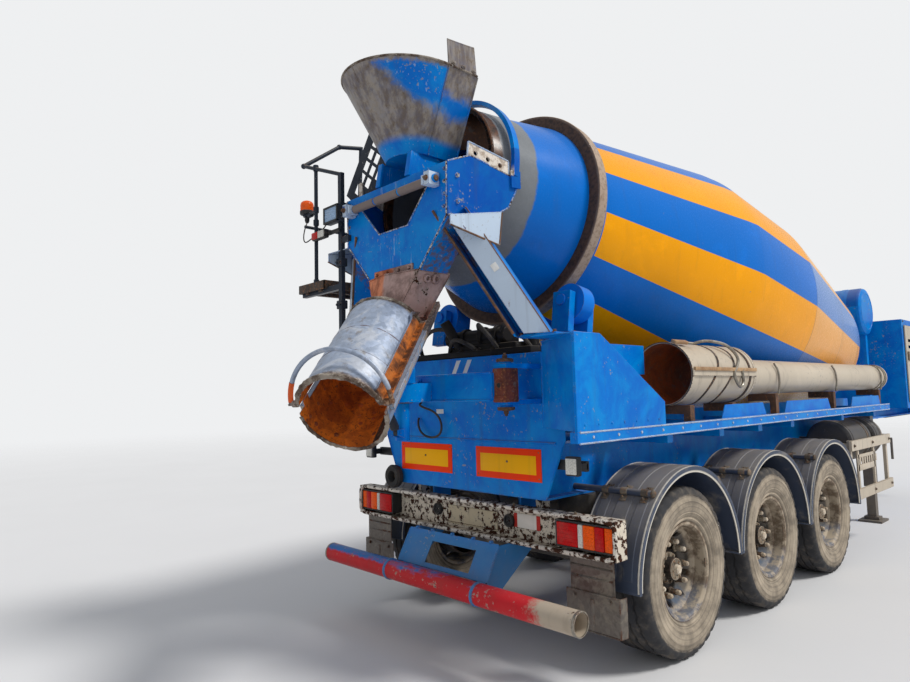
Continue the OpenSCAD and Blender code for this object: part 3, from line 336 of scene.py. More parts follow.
def drum_colour(g):
    """Grey at the mouth, blue cone behind the ring, then stripes along the drum."""
    from_ring = g.place.minus(RING_CENTRE)
    along, up = from_ring.along(DRUM_AXIS), from_ring.along(DRUM_UP)
    turn = g.math("ARCTAN2", from_ring.axis("Y") * -1, up)
    ramp = g.node("ShaderNodeValToRGB", {"Fac": g.math("FRACT", turn / (2 * pi) + 1)})
    ramp.color_ramp.interpolation = "CONSTANT"
    begins = sorted((a % 360 / 360, i) for i, a in enumerate(stripe_angles()))
    colours = [rgb(*YELLOW), rgb(*BLUE)]
    stops = ramp.color_ramp.elements
    stops[0].position, stops[0].color = 0, colours[begins[-1][1] % 2]
    stops[1].position, stops[1].color = begins[0][0], colours[begins[0][1] % 2]
    for position, i in begins[1:]:
        stops.new(position).color = colours[i % 2]
    colour = g.mix(along.step(0.118, 0.122), BLUE, Value(g, ramp.outputs[0]))
    # painted reflection of a pale sky on the upper drum in front of the first weld seam, and a dark line on each
    # seam
    sky_sheen = along.step(DRUM_SEAMS[0] - 0.004, DRUM_SEAMS[0] + 0.004)
    colour = g.mix(sky_sheen * up.step(-0.9, 1.1).spread(0.08, 0.36), colour, (214, 222, 210))
    for seam in DRUM_SEAMS:
        line = along.step(seam - 0.008, seam - 0.004) * along.step(seam + 0.008, seam + 0.004)
        colour = g.mix(line * 0.5, colour, (70, 66, 60))
    # grey band and brown lip at the mouth
    scrub = g.noise(7, 6, 0.7)
    edge = along + scrub.spread(-0.03, 0.03)
    colour = g.mix(edge.step(-0.455, -0.475), colour, g.tint((122, 126, 130), 0.75, 1.2, scrub))
    lip = g.mix(g.noise(24, 7, 0.7).step(0.4, 0.6), (96, 62, 42), (54, 40, 34))
    return g.mix(edge.step(-0.735, -0.755), colour, lip)


def galvanised(name, colour, rust, cement):
    """Zinc-coated sheet with its spangle, brown crust and cement smears."""
    g = Graph(name)
    spangle = g.cells(46, "Color").axis("X")
    base = g.tint(g.tint(colour, 0.78, 1.2, spangle), 0.8, 1.2, g.noise(2.2, 5))
    middle = g.noise(9, 8, 0.68)
    smear = g.noise(5, 7, 0.7, warp=0.8).step(0.62 - 0.16 * cement, 0.74 - 0.16 * cement)
    base = g.mix(smear * 0.7, base, g.tint((150, 140, 126), 0.8, 1.15, g.noise(60)))
    brown = (middle + g.edges(0.012) * 0.22).step(0.74 - 0.12 * rust, 0.84 - 0.12 * rust)
    base = g.mix(brown, base, g.mix(g.noise(30), RUST, DARK_RUST))
    rough = spangle.spread(0.3, 0.45).larger(smear.larger(brown) * 0.8)
    return g.finish(base, rough, smear * 0.7 + middle * 0.6, 0.5, 0.003, Metallic=0.55)


# The chute's own frame, whose -x runs down the chute
CHUTE_SWING, CHUTE_SLOPE = 30, 39
POST_X = -1.30
CHUTE_PLACE = (FROM_AXLE @ Matrix.Translation((POST_X, 0, 0))
               @ Matrix.Rotation(radians(CHUTE_SWING), 4, "Z")
               @ Matrix.Translation((-0.240, 0, 2.043)) @ Matrix.Rotation(-radians(CHUTE_SLOPE), 4, "Y"))
CHUTE_L, SLOT_LOW, SLOT_HIGH = 0.76, 0.010, 0.055


def chute_sheet(name):
    """The chute: blue-grey zinc outside, orange rust inside, told apart by the distance from its axis."""
    g = Graph(name)
    from_axis = g.place.minus(CHUTE_PLACE.translation)
    along, side, up = (from_axis.along(axis) for axis in CHUTE_PLACE.to_3x3().transposed())
    spangle = g.cells(40, "Color").axis("X")
    middle = g.noise(9, 8, 0.68)
    fine = g.noise(60, 6, 0.65)
    outer = g.tint((150, 162, 182), 0.84, 1.16, spangle)
    outer = g.mix(g.noise(3.5, 7, 0.7, warp=0.8).step(0.5, 0.62) * 0.55, outer, (206, 208, 212))
    outer = g.mix(g.noise(14, 6, 0.7, stretch=(1, 1, 0.3)).step(0.55, 0.68) * 0.6, outer, (116, 104, 92))
    # the trough is tan below its edge, with old paint
    outer = g.mix(up.step(0.012, 0.004), outer,
                  g.mix(middle.step(0.42, 0.6), (186, 160, 130), (138, 170, 200)))
    # old concrete and rust along the hood's right edge, under its flange
    band = side.step(-0.19, -0.20) * up.step(0.125, 0.118) * up.step(0.050, 0.056) * along.step(0.0, -0.01)
    outer = g.mix(band, outer, g.mix(middle.step(0.4, 0.6), (196, 112, 44), (82, 50, 32)))
    # crust at the hood's upper end and the rims
    upper = (along + middle.spread(-0.03, 0.03)).step(-0.040, -0.020)
    lower = (along + middle.spread(-0.04, 0.04)).step(-0.705, -0.735)
    crusty = g.mix(fine.step(0.45, 0.6), (84, 64, 50), (150, 132, 112))
    outer = g.mix(upper.larger(lower) * 0.85, outer, crusty)
    orange = g.mix(g.noise(6, 7, 0.7, warp=0.5).step(0.35, 0.65), (232, 128, 34), (158, 74, 24))
    orange = g.mix(fine.step(0.52, 0.7), orange, (98, 54, 28))
    inside = g.math("SQRT", side * side + up * up).step(0.2405, 0.2385)
    base = g.mix(inside, outer, orange)
    brown = (middle + g.edges(0.010) * 0.25).step(0.68, 0.76)
    base = g.mix(brown * 0.8, base, g.mix(g.noise(30), RUST, DARK_RUST))
    rough = spangle.spread(0.32, 0.48).larger((inside * 0.85).larger(brown * 0.8))
    return g.finish(base, rough, middle + fine, 0.45, 0.003, Metallic=0.2, Specular_IOR_Level=0.4)


def funnel_colour(g):
    """Salmon on the left face, grey-pink on the cone."""
    grain = g.noise(7, 7, 0.7)
    patch = grain.step(0.4, 0.62)
    left = (g.place.axis("Y") + grain.spread(-0.05, 0.05)).step(-0.02, 0.02)
    salmon = g.mix(patch, (218, 140, 104), (160, 92, 66))
    return g.mix(left, g.mix(patch, (184, 156, 150), (136, 112, 106)), salmon)


def track_ring(name):
    """The drum's ring: brown sides, and a running face rubbed pale."""
    g = Graph(name)
    from_ring = g.place.minus(RING_CENTRE)
    along, far = from_ring.along(DRUM_AXIS), from_ring.length()
    r = g.math("SQRT", far * far - along * along)
    fine = g.noise(40, 7, 0.7)
    side = g.mix(fine.step(0.4, 0.62), (92, 66, 50), (58, 44, 38))
    rubbed = g.mix(fine.step(0.45, 0.65), (196, 178, 160), (124, 104, 88))
    base = g.mix(r.step(0.8125, 0.8165), side, rubbed)
    base = g.mix((r + fine.spread(-0.02, 0.02)).step(0.795, 0.81) * 0.6, base, (150, 128, 110))
    return g.finish(base, fine.spread(0.5, 0.85), fine, Metallic=0.3)


def rusty(name, light, dark, scale=1.0, metallic=0.15):
    """Bare steel under a crust of rust."""
    g = Graph(name)
    broad = g.noise(2.6 * scale, 6, 0.65)
    fine = g.noise(48 * scale, 8, 0.7)
    base = g.mix(broad.step(0.35, 0.65), light, dark)
    base = g.mix(fine.step(0.5, 0.7), base, (158, 104, 62))
    base = g.mix(g.noise(13 * scale, 7, 0.7).step(0.56, 0.66) * 0.7, base, (120, 112, 104))
    return g.finish(base, fine.spread(0.6, 0.95), fine + broad, 0.6, 0.003, Metallic=metallic)


def rubber(name, colour, dusty):
    """Rubber, dusty in its hollows."""
    g = Graph(name)
    fine = g.noise(120, 5, 0.6)
    broad = g.noise(6, 6, 0.65)
    dust = g.tint((128, 114, 99), 0.8, 1.15, fine)
    base = g.mix(broad.step(0.3, 0.7) * dusty, g.tint(colour, 0.8, 1.2, fine), dust)
    base = g.mix(g.edges(0.004) * 0.35, base, (140, 127, 112))
    return g.finish(base, broad.spread(0.75, 0.95), fine, 0.25, 0.001)


def steel(name, colour, rough):
    """Machined steel with fine turning marks, oil and a little rust."""
    g = Graph(name)
    marks = g.noise(220, 3, 0.5, stretch=(0.05, 1, 1))
    stain = g.noise(8, 6, 0.65).step(0.45, 0.7)
    base = g.mix(stain * 0.5, g.tint(colour, 0.85, 1.1, marks), (96, 70, 50))
    return g.finish(base, marks.spread(rough - 0.08, rough + 0.15), marks, 0.2, 0.0005, Metallic=0.85)


def tyre_rubber(name):
    """Dark tread and dusty beige sidewalls, about the tyre's own centre."""
    g = Graph(name)
    fine = g.noise(120, 5, 0.6)
    broad = g.noise(5, 6, 0.65)
    far = g.place.times((1, 0, 1)).length()
    wall = abs(g.place.axis("Y")).step(0.135, 0.16) * (far + broad.spread(-0.012, 0.012)).step(0.476, 0.452)
    dusty = g.mix(broad.step(0.35, 0.65), (186, 171, 150), (132, 121, 106))
    rings = g.math("SINE", far * 210.0).step(0.55, 0.95)
    dusty = g.mix(rings * 0.35, dusty, (84, 78, 72))
    dark = g.mix(g.noise(9, 6, 0.7).step(0.45, 0.7) * 0.55, g.tint((50, 50, 53), 0.8, 1.2, fine),
                 (112, 102, 90))
    base = g.mix(wall * fine.spread(0.75, 1.0), dark, dusty)
    return g.finish(base, broad.spread(0.8, 0.97), fine, 0.25, 0.001)


AXLE_PITCH, TYRE_R = 1.31, 0.52


def dusty_rim(name):
    """Wheels: dusty flange, brighter dish, dark ring and hub with painted shade round the nuts, by the distance
    from the nearest axle.
    """
    g = Graph(name)
    half = AXLE_PITCH / 2
    spaced = g.math("FRACT", (g.place.axis("X") + (half - REAR_AXLE)) / AXLE_PITCH)
    level = spaced * AXLE_PITCH - half
    high = g.place.axis("Z") - TYRE_R
    middle = g.noise(11, 8, 0.68)
    patch = middle.step(0.4, 0.62)
    fine = g.noise(70, 5, 0.65)
    ragged = g.math("SQRT", level * level + high * high) + middle.spread(-0.010, 0.010)
    # painted shade: the dish and hub between the nuts darkened nearly to black
    shaded_hub = g.mix(fine.step(0.4, 0.6), (30, 27, 25), (60, 52, 45))
    base = g.mix(ragged.step(0.192, 0.206), shaded_hub, g.mix(patch, (112, 106, 99), (58, 52, 46)))
    flange = g.mix(middle.step(0.42, 0.6), (176, 162, 142), (116, 101, 84))
    base = g.mix(ragged.step(0.238, 0.252), base, flange)
    base = g.mix(ragged.step(0.046, 0.040), base, g.mix(middle, (150, 146, 140), (176, 170, 160)))
    # bluish patches on the lower part of the wheels, and rust at the nuts and rims
    low = high.step(-0.10, -0.19) * middle.step(0.40, 0.58) * ragged.step(0.20, 0.21)
    base = g.mix(low * 0.45, base, (98, 122, 150))
    rust = (middle + g.edges(0.008) * 0.2).step(0.62, 0.7)
    base = g.mix(rust * 0.8, base, g.mix(fine, RUST, DARK_RUST))
    return g.finish(base, fine.spread(0.6, 0.9), fine + middle, 0.35, Metallic=0.15)


def crust(name):
    """Dried cement on a rim, brown and white, knobbly."""
    g = Graph(name)
    knobs = g.noise(42, 8, 0.72)
    base = g.mix(g.noise(7, 6, 0.7).step(0.4, 0.62), (74, 56, 44), (150, 140, 128))
    base = g.mix(knobs.step(0.55, 0.68), base, (196, 190, 180))
    return g.finish(base, 0.9, knobs, 0.9, 0.006)


def bar_colour(g):
    """The underrun bar: red, azure left on its top, beige at its right end."""
    y, z = g.place.axis("Y"), g.place.axis("Z")
    grain = g.noise(16, 8, 0.72)
    patchy = g.noise(5, 8, 0.75, stretch=(1, 0.35, 1)).step(0.44, 0.56)
    upper = (z + grain.spread(-0.03, 0.03)).step(0.496, 0.514) * y.step(-0.55, -0.35)
    base = g.mix(upper * patchy, (196, 4, 30), (16, 104, 178))
    return g.mix((y + grain.spread(-0.2, 0.2)).step(-0.84, -0.96), base, (178, 164, 146))


def sign_colour(g):
    """White with red ends, for the small sign on the lamp bar."""
    across = abs(g.place.axis("Y") + 0.4915)
    return g.mix(across.step(0.078, 0.081), (232, 226, 218), (196, 40, 34))


def lens(name, colour):
    """Moulded lamp lens with fine prisms inside."""
    g = Graph(name)
    prisms = g.cells(140)
    base = g.tint(colour, 0.65, 1.15, prisms.step(0.0, 0.7))
    base = g.mix(g.noise(8, 5).step(0.45, 0.7) * 0.12, base, DUST)
    return g.finish(base, 0.25, prisms, 0.12, 0.001, Specular_IOR_Level=0.16)


def plastic(name, colour, dusty, rough=0.55):
    """Moulded plastic, grained, with dust on top."""
    g = Graph(name)
    broad = g.noise(5, 6, 0.65)
    lying = g.facing_up(0.1, 0.9) * broad.spread(0.3, 1.1)
    share = lying.larger(broad.step(0.52, 0.75)) * dusty
    base = g.mix(share, g.tint(colour, 0.85, 1.2, broad), (142, 134, 124))
    base = g.mix(g.edges(0.005) * 0.4, base, (128, 128, 128))
    return g.finish(base, broad.spread(rough - 0.1, rough + 0.2), g.cells(420), 0.15, 0.0006)


def board_paint(name, colour, under, chips, streaks):
    """Paint of a marking board, cleaner than the rest."""
    return worn_paint(name, colour, under=under, rough=0.35, chips=chips, dust=0.15, splash=0.1,
                      streaks=streaks, low=0.9)


# Finishes by name: how each is made, its colours, and what else it is given
FINISHES = {
    "blue_paint": (worn_paint, blue_places, dict(splash=0.35, chips=0.6)),
    "stripe_paint": (worn_paint, drum_colour,
                     dict(under=PRIMER, rough=0.24, chips=0.05, dust=0.12, splash=0.05, streaks=0.15,
                          coat=0.12)),
    "white_paint": (worn_paint, (218, 207, 190),
                    dict(under=DARK_RUST, chips=2.2, dust=0.5, streaks=0.9, grain=2.2)),
    "cream_paint": (worn_paint, (196, 184, 166), dict(chips=0.9, dust=0.5, streaks=0.6)),
    "red_paint": (worn_paint, bar_colour, dict(under=(176, 160, 138), chips=1.3, dust=0.15, splash=0.5)),
    "dark_paint": (worn_paint, (48, 54, 64), dict(chips=0.6, dust=0.7, low=1.6)),
    "galvanised": (chute_sheet,),
    "steel": (steel, (150, 148, 145), 0.35),
    "rusty_steel": (rusty, (118, 84, 62), (72, 54, 44)),
    "cast": (rusty, (84, 84, 86), (52, 50, 50)),
    "dusty_rim": (dusty_rim,),
    "tyre": (tyre_rubber,),
    "bellows": (rubber, (34, 34, 35), 0.3),
    "guard_plastic": (plastic, (60, 70, 90), 0.85),
    # pale caps of the nuts and hub; on the nuts they are lightened further as a painted highlight of sunlit tops
    "pale_cap": (rusty, (226, 216, 198), (172, 156, 134), 2.0, 0.1),
    "roller_blue": (worn_paint, (10, 122, 222), dict(chips=0.9, dust=0.3)),
    "reflector": (lens, (244, 120, 30)),
    "red_lens": (lens, (186, 0, 6)),
    "amber_lens": (lens, (238, 88, 0)),
    "clear_lens": (lens, (206, 204, 196)),
    "pale_glass": (lens, (150, 176, 205)),
    # nut bodies lightened as a painted highlight of sunlit nuts
    "wheel_trim": (rusty, (160, 148, 130), (76, 66, 56), 1.6, 0.2),
    "pale_plastic": (plastic, (208, 202, 190), 0.5),
    "black_plastic": (plastic, (26, 27, 30), 0.35),
    "dusty_steel": (rusty, (132, 120, 104), (74, 66, 58), 1.4),
    "bare_steel": (galvanised, (150, 144, 132), 0.5, 0.4),
    "dull_sheet": (galvanised, (104, 97, 90), 0.3, 0.5),
    "chipped_white": (worn_paint, (222, 214, 202), dict(under=DARK_RUST, chips=2.2, streaks=0.6, grain=2.4)),
    "old_plate": (worn_paint, (206, 192, 164),
                  dict(under=DARK_RUST, rough=0.6, chips=1.9, dust=0.6, streaks=0.7, coat=0)),
    "small_sign": (worn_paint, sign_colour, dict(dust=0.3)),
    "board_red": (board_paint, (250, 62, 12), (236, 190, 160), 0.25, 0.15),
    "board_yellow": (board_paint, (255, 182, 4), (236, 200, 150), 0.2, 0.2),
    "sticker": (worn_paint, (226, 226, 224), dict(under=(190, 184, 176), chips=0.3, dust=0.2)),
    "old_rubber": (rubber, (30, 30, 31), 0.25),
    "crust": (crust,),
    "rusty_tape": (worn_paint, (214, 96, 52), dict(under=DARK_RUST, rough=0.6, chips=1.0, coat=0)),
    "red_brown": (rusty, (132, 62, 44), (70, 34, 26), 1.5),
    "funnel": (worn_paint, funnel_colour, dict(under=DARK_RUST, rough=0.6, chips=1.3, dust=0.2, splash=0.5,
                                               streaks=0.9, coat=0)),
    "pale_blue": (worn_paint, (188, 204, 222), dict(under=(10, 90, 190), chips=1.2, dust=0.2, streaks=0.5)),
    "worn_edge": (worn_paint, (36, 120, 208), dict(under=(206, 204, 198), chips=2.2, dust=0.3, splash=0.5)),
    "brown_pipe": (worn_paint, (128, 116, 112), dict(chips=1.2, dust=0.3, rough=0.5, coat=0)),
    "track_ring": (track_ring,),
    "orange_inside": (rusty, (196, 92, 30), (120, 56, 26), 1.0, 0.05),
    "dark_liner": (rusty, (70, 58, 50), (34, 30, 28), 1.2),
    "brown_steel": (rusty, (78, 66, 58), (44, 38, 36), 1.2),
    "tan_steel": (rusty, (196, 164, 124), (138, 104, 74), 1.6, 0.05),
    "oily": (worn_paint, (36, 34, 33), dict(rough=0.5, chips=0.4, dust=0.3, splash=0.15)),
}


def make_materials():
    """Every finish, by its name."""
    made = {}
    for name, (recipe, *values) in FINISHES.items():
        settings = values.pop() if values and isinstance(values[-1], dict) else {}
        made[name] = recipe(name, *values, **settings)
    return made


# Width of the rounding on the CAD pieces' edges, and the curved pieces that keep theirs sharp
EDGE_ROUND = 0.003
NO_ROUND = {"drum_blades", "drum_shell"}
# CAD nodes whose finish isn't simply that of their slot
OWN_FINISH = {"drum_ring": "track_ring", "discharge_funnel": "funnel", "roller_right": "roller_blue",
              "roller_left": "roller_blue", "mud_flaps": "dull_sheet", "side_guards": "cream_paint"}


def dress_nodes():
    """Gives every CAD node its finish and softened edges."""
    finishes = {s["node"]: s["material_slot"] for s in frame["record"]["subparts"]}
    finishes.update(OWN_FINISH)
    for name, piece in frame["nodes"].items():
        piece.data.materials.clear()
        piece.data.materials.append(MATERIALS[finishes[name]])
        weld = piece.modifiers.new("weld", "WELD")
        weld.merge_threshold = 0.00005
        if name not in NO_ROUND and not name.startswith("tyre"):
            bevel = piece.modifiers.new("round", "BEVEL")
            bevel.width = EDGE_ROUND
            bevel.segments = 2
            bevel.limit_method = "ANGLE"
            bevel.angle_limit = radians(40)
            bevel.harden_normals = False
        piece.data.shade_smooth()
        if name not in NO_ROUND:
            piece.modifiers.new("normals", "WEIGHTED_NORMAL").weight = 100


def cross_axes(axis):
    """The unit axis, and two more at right angles to it."""
    axis = Vector(axis).normalized()
    side = axis.orthogonal().normalized()
    return axis, side, axis.cross(side)


def circle(centre, side, other, radius, count):
    return [centre + (side * cos(a) + other * sin(a)) * radius for a in full_turn(count)]


def curve_points(points, steps):
    """Points on a smooth curve through the given ones."""
    points = [Vector(p) for p in points]
    if steps < 2 or len(points) < 3:
        return points
    made = []
    for a, b, c, d in zip(points[:1] + points, points, points[1:], points[2:] + points[-1:]):
        for u in (k / steps for k in range(steps)):
            made.append(0.5 * (2 * b + (c - a) * u + (2 * a - 5 * b + 4 * c - d) * u * u
                               + (3 * b - a - 3 * c + d) * u ** 3))
    return made + points[-1:]


def add_piece(name, mesh, body, place=(0, 0, 0), turn=0.0):
    """A mesh as an object that rides on a body."""
    piece = linked(name, mesh)
    piece.location = place
    piece.rotation_euler = (0, 0, turn)
    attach(piece, body)
    return piece


class Maker:
    """Collects many small solids into one piece. Their points count from place."""

    def __init__(self, place=FROM_AXLE):
        self.mesh = bmesh.new()
        self.place = place

    def rings(self, loops, closed=False):
        """A skin through loops of points that have the same count, capped at its ends or closed round."""
        made = [[self.mesh.verts.new(p) for p in loop] for loop in loops]
        n = len(made[0])
        for a, b in zip(made, made[1:] + (made[:1] if closed else [])):
            for i in range(n):
                self.mesh.faces.new([a[i], a[(i + 1) % n], b[(i + 1) % n], b[i]])
        if not closed:
            self.mesh.faces.new(made[0][::-1])
            self.mesh.faces.new(made[-1])

    def prism(self, outline, move):
        """A solid from an outline of points, pushed along the vector move."""
        self.rings([outline, [Vector(p) + Vector(move) for p in outline]])

    def box(self, a, b, round_off=0.0, turn=None):
        """A box between two corners, its edges cut by round_off, turned by a matrix about its middle."""
        low, high = Vector([min(p) for p in zip(a, b)]), Vector([max(p) for p in zip(a, b)])
        before = set(self.mesh.verts)
        outline = ((low.x, low.y), (high.x, low.y), (high.x, high.y), (low.x, high.y))
        self.rings([[(x, y, z) for x, y in outline] for z in (low.z, high.z)])
        if round_off:
            edges = list({e for v in self.mesh.verts if v not in before for e in v.link_edges})
            bmesh.ops.bevel(self.mesh, geom=edges, offset=round_off, segments=2, affect="EDGES", profile=0.5)
        if turn is not None:
            middle = (low + high) / 2
            for v in self.mesh.verts:
                if v not in before:
                    v.co = middle + turn @ (v.co - middle)

    def lathe(self, centre, axis, profile, count=32):
        """A closed profile of (along, radius) points turned about axis."""
        axis, side, other = cross_axes(axis)
        self.rings([[Vector(centre) + axis * s + (side * cos(a) + other * sin(a)) * r for s, r in profile]
                    for a in full_turn(count)], closed=True)

    def band(self, centre, axis, half, inner, outer, count):
        """A flat ring, half to each side of centre."""
        self.lathe(centre, axis, [(-half, inner), (-half, outer), (half, outer), (half, inner)], count)

    def rod(self, a, b, radius, count=16):
        """A round rod between two points, its ends slightly cut."""
        a, b = Vector(a), Vector(b)
        axis, side, other = cross_axes(b - a)
        cut, length = radius * 0.12, (b - a).length
        steps = (0, radius - cut), (cut, radius), (length - cut, radius), (length, radius - cut)
        self.rings([circle(a + axis * s, side, other, r, count) for s, r in steps])

    def tube(self, points, radius, count=8, smooth=1):
        """A bent pipe, hose or bead through the points, on a smooth curve where smooth is over 1."""
        path = curve_points(points, smooth)
        loops, side = [], None
        for before, p, after in zip(path[:1] + path, path, path[1:] + path[-1:]):
            axis = (after - before).normalized()
            side = axis.orthogonal() if side is None else side - axis * side.dot(axis)
            side.normalize()
            loops.append(circle(p, side, axis.cross(side), radius, count))
        self.rings(loops)

    def bolt(self, place, axis, size, thread=0.0):
        """A hexagon head on its washer, size wide across its corners, standing along axis."""
        axis, side, other = cross_axes(axis)
        end = thread / size
        # corners, and (along, radius) steps as shares of the size
        stacks = [(16, ((-0.2, 0.75), (0.12, 0.75))), (6, ((-0.08, 0.5), (0.61, 0.5), (0.67, 0.44)))]
        if thread:
            stacks.append((10, ((0.57, 0.28), (0.67 + end, 0.28), (0.72 + end, 0.22))))
        for count, steps in stacks:
            self.rings([circle(Vector(place) + axis * s * size, side, other, r * size, count)
                        for s, r in steps])

    def finished(self, name, finish, sharp=35):
        """Ends the maker as a mesh, smooth but where it bends by more than sharp degrees."""
        self.mesh.transform(self.place)
        bmesh.ops.recalc_face_normals(self.mesh, faces=self.mesh.faces)
        mesh = bpy.data.meshes.new(name)
        self.mesh.to_mesh(mesh)
        self.mesh.free()
        mesh.shade_smooth()
        mesh.set_sharp_from_angle(angle=radians(sharp))
        mesh.materials.append(MATERIALS[finish])
        return mesh

    def piece(self, name, slot, finish=None, body="trailer"):
        """Ends the maker as one object, in the slot's finish where it has none of its own."""
        return add_piece(name, self.finished(name, finish or slot), body)


FLOOR_RADIUS, FLOOR_CORNERS = 60, 64
FLOOR_COLOUR = (212.23, 212.23, 213.65)
# Colour and strength of the soft light, and of the background that the camera sees
SOFT_LIGHT, BACKGROUND = {0: (0.93, 0.96, 1, 1), 1: 0.56}, {0: (0.86, 0.87, 0.88, 1), 1: 1}


def make_stage():
    """Pale floor that fades into a pale background, and soft light."""
    mesh = bpy.data.meshes.new("floor")
    ring = [(FLOOR_RADIUS * cos(a), FLOOR_RADIUS * sin(a), 0) for a in full_turn(FLOOR_CORNERS)]
    mesh.from_pydata(ring, [], [list(range(FLOOR_CORNERS))])
    floor = linked("floor", mesh)
    g = Graph("floor")
    solid = g.add("ShaderNodeBsdfDiffuse", 0, {"Color": g.tint(FLOOR_COLOUR, 0.97, 1.03, g.noise(0.6, 3))})
    clear = g.add("ShaderNodeBsdfTransparent")
    fade = g.add("ShaderNodeMixShader", 0, {0: g.place.length().step(9.0, 34.0), 1: solid, 2: clear})
    g.node("ShaderNodeOutputMaterial", {"Surface": fade})
    mesh.materials.append(g.owner)

    world = Graph("studio", bpy.data.worlds)
    bpy.context.scene.world = world.owner
    light = world.add("ShaderNodeBackground", 0, SOFT_LIGHT)
    seen = world.add("ShaderNodeBackground", 0, BACKGROUND)
    to_camera = world.add("ShaderNodeLightPath", "Is Camera Ray")
    both = world.add("ShaderNodeMixShader", 0, {0: to_camera, 1: light, 2: seen})
    world.node("ShaderNodeOutputWorld", {"Surface": both})

    sun = bpy.data.lights.new("key", "SUN")
    sun.energy, sun.angle, sun.color = 2.5, radians(14), (1, 0.98, 0.94)
    shine = Vector((-0.35, 0.62, -0.85))
    linked("key", sun).rotation_euler = shine.to_track_quat("-Z", "Y").to_euler()


BOTH = (-1, 1)
BACK, AHEAD, LEFT, UP, DOWN = (-1, 0, 0), (1, 0, 0), (0, 1, 0), (0, 0, 1), (0, 0, -1)
NO_MOVE = Matrix()
AXLES = [AXLE_PITCH * i for i in range(3)]
WHEEL_Y = 1.02

# One side of a tyre's section: distance from its middle, and radius
TYRE_HALF = [(0.136, 0.279), (0.146, 0.287), (0.1505, 0.300), (0.157, 0.304), (0.166, 0.312),
             (0.170, 0.318), (0.170, 0.323), (0.167, 0.328), (0.1745, 0.340), (0.181, 0.354),
             (0.1832, 0.3565), (0.1832, 0.360), (0.1825, 0.362), (0.189, 0.384), (0.1922, 0.405),
             (0.1912, 0.424), (0.1925, 0.4265), (0.1925, 0.430), (0.190, 0.433), (0.186, 0.451),
             (0.181, 0.464), (0.1845, 0.468), (0.181, 0.487), (0.173, 0.503), (0.161, 0.5135),
             (0.150, 0.5178), (0.104, 0.520), (0.099, 0.506), (0.089, 0.506), (0.084, 0.520),
             (0.038, 0.520), (0.033, 0.506), (0.023, 0.506), (0.018, 0.520)]
TYRE_STEPS = 144
# Points of the half section that are shoulder blocks, those whose notch is also narrower, and groove edges
SHOULDER, BLOCK_SIDES, GROOVES = range(21, 27), range(21, 25), range(26, 34)
WHEEL_SHARP = 32


def wheel_point(r, a, y=0.0):
    """A point about a wheel's centre, whose outer side is towards +Y."""
    return Vector((r * cos(a), y, r * sin(a)))


def tyre_mesh():
    """A 385 mm wide truck tyre about its own centre, with blocks along its shoulders and zigzag grooves."""
    m, loops = Maker(NO_MOVE), []
    for k, a in enumerate(full_turn(TYRE_STEPS)):
        zigzag = 0.0035 if k % 4 < 2 else -0.0035
        notch = 0.0 if k % 4 else 0.007
        half = [(s + zigzag * (i in GROOVES) - notch * 0.5 * (i in BLOCK_SIDES), r - notch * (i in SHOULDER))
                for i, (s, r) in enumerate(TYRE_HALF)]
        section = half + [(-s, r) for s, r in half[::-1]]
        loops.append([wheel_point(r, a, s) for s, r in section])
    m.rings(loops, closed=True)
    return m.finished("tyre", "tyre", WHEEL_SHARP)


NUT_COUNT, NUT_R = 10, 0.1675


def wheel_trim_meshes():
    """Nuts, hub cap with its bolts, valve and balance weight about the wheel's centre, and the pale caps."""
    m, caps = Maker(NO_MOVE), Maker(NO_MOVE)
    centre = (0, 0, 0)
    for a in full_turn(NUT_COUNT):
        seat = [(0, 0.012), (0, 0.026), (0.008, 0.025), (0.012, 0.021), (0.012, 0.012)]
        m.lathe(wheel_point(NUT_R, a, 0.012), LEFT, seat, 20)
        m.rings([[wheel_point(NUT_R, a, y) + wheel_point(r, a + b) for b in full_turn(6)]
                 for y, r in ((0.022, 0.0205), (0.056, 0.020), (0.060, 0.0175))])
        cap = [(0, 0.001), (0, 0.0165), (0.022, 0.0155), (0.029, 0.010), (0.031, 0.001)]
        caps.lathe(wheel_point(NUT_R, a, 0.058), LEFT, cap, 16)
        m.bolt(wheel_point(0.085, a + pi / NUT_COUNT, 0.044), LEFT, 0.017)
    # hub cap: rim, boss and its ring of bolts
    m.lathe(centre, LEFT,
            [(0.028, 0.071), (0.028, 0.098), (0.040, 0.098), (0.044, 0.093), (0.044, 0.071)], 40)
    m.lathe(centre, LEFT,
            [(0.088, 0.040), (0.088, 0.0655), (0.0935, 0.064), (0.097, 0.058), (0.099, 0.040)], 40)
    for a in full_turn(6):
        m.bolt(wheel_point(0.050, a, 0.0975), LEFT, 0.011)
    boss = [(0.092, 0.002), (0.092, 0.030), (0.112, 0.028), (0.118, 0.020), (0.118, 0.002)]
    caps.lathe(centre, LEFT, boss, 28)
    caps.lathe(centre, LEFT, [(0.0885, 0.041), (0.0885, 0.0662), (0.092, 0.0662), (0.092, 0.041)], 40)
    # valve and a balance weight on the flange
    m.tube([(0.228, 0.02, 0.02), (0.236, 0.06, 0.02), (0.246, 0.10, 0.02)], 0.0045, smooth=4)
    m.rod((0.245, 0.096, 0.02), (0.250, 0.116, 0.02), 0.006, 10)
    m.box((-0.286, 0.135, -0.03), (-0.270, 0.150, 0.03), 0.003)
    return (m.finished("wheel_trim", "wheel_trim", WHEEL_SHARP),
            caps.finished("wheel_caps", "pale_cap", WHEEL_SHARP))


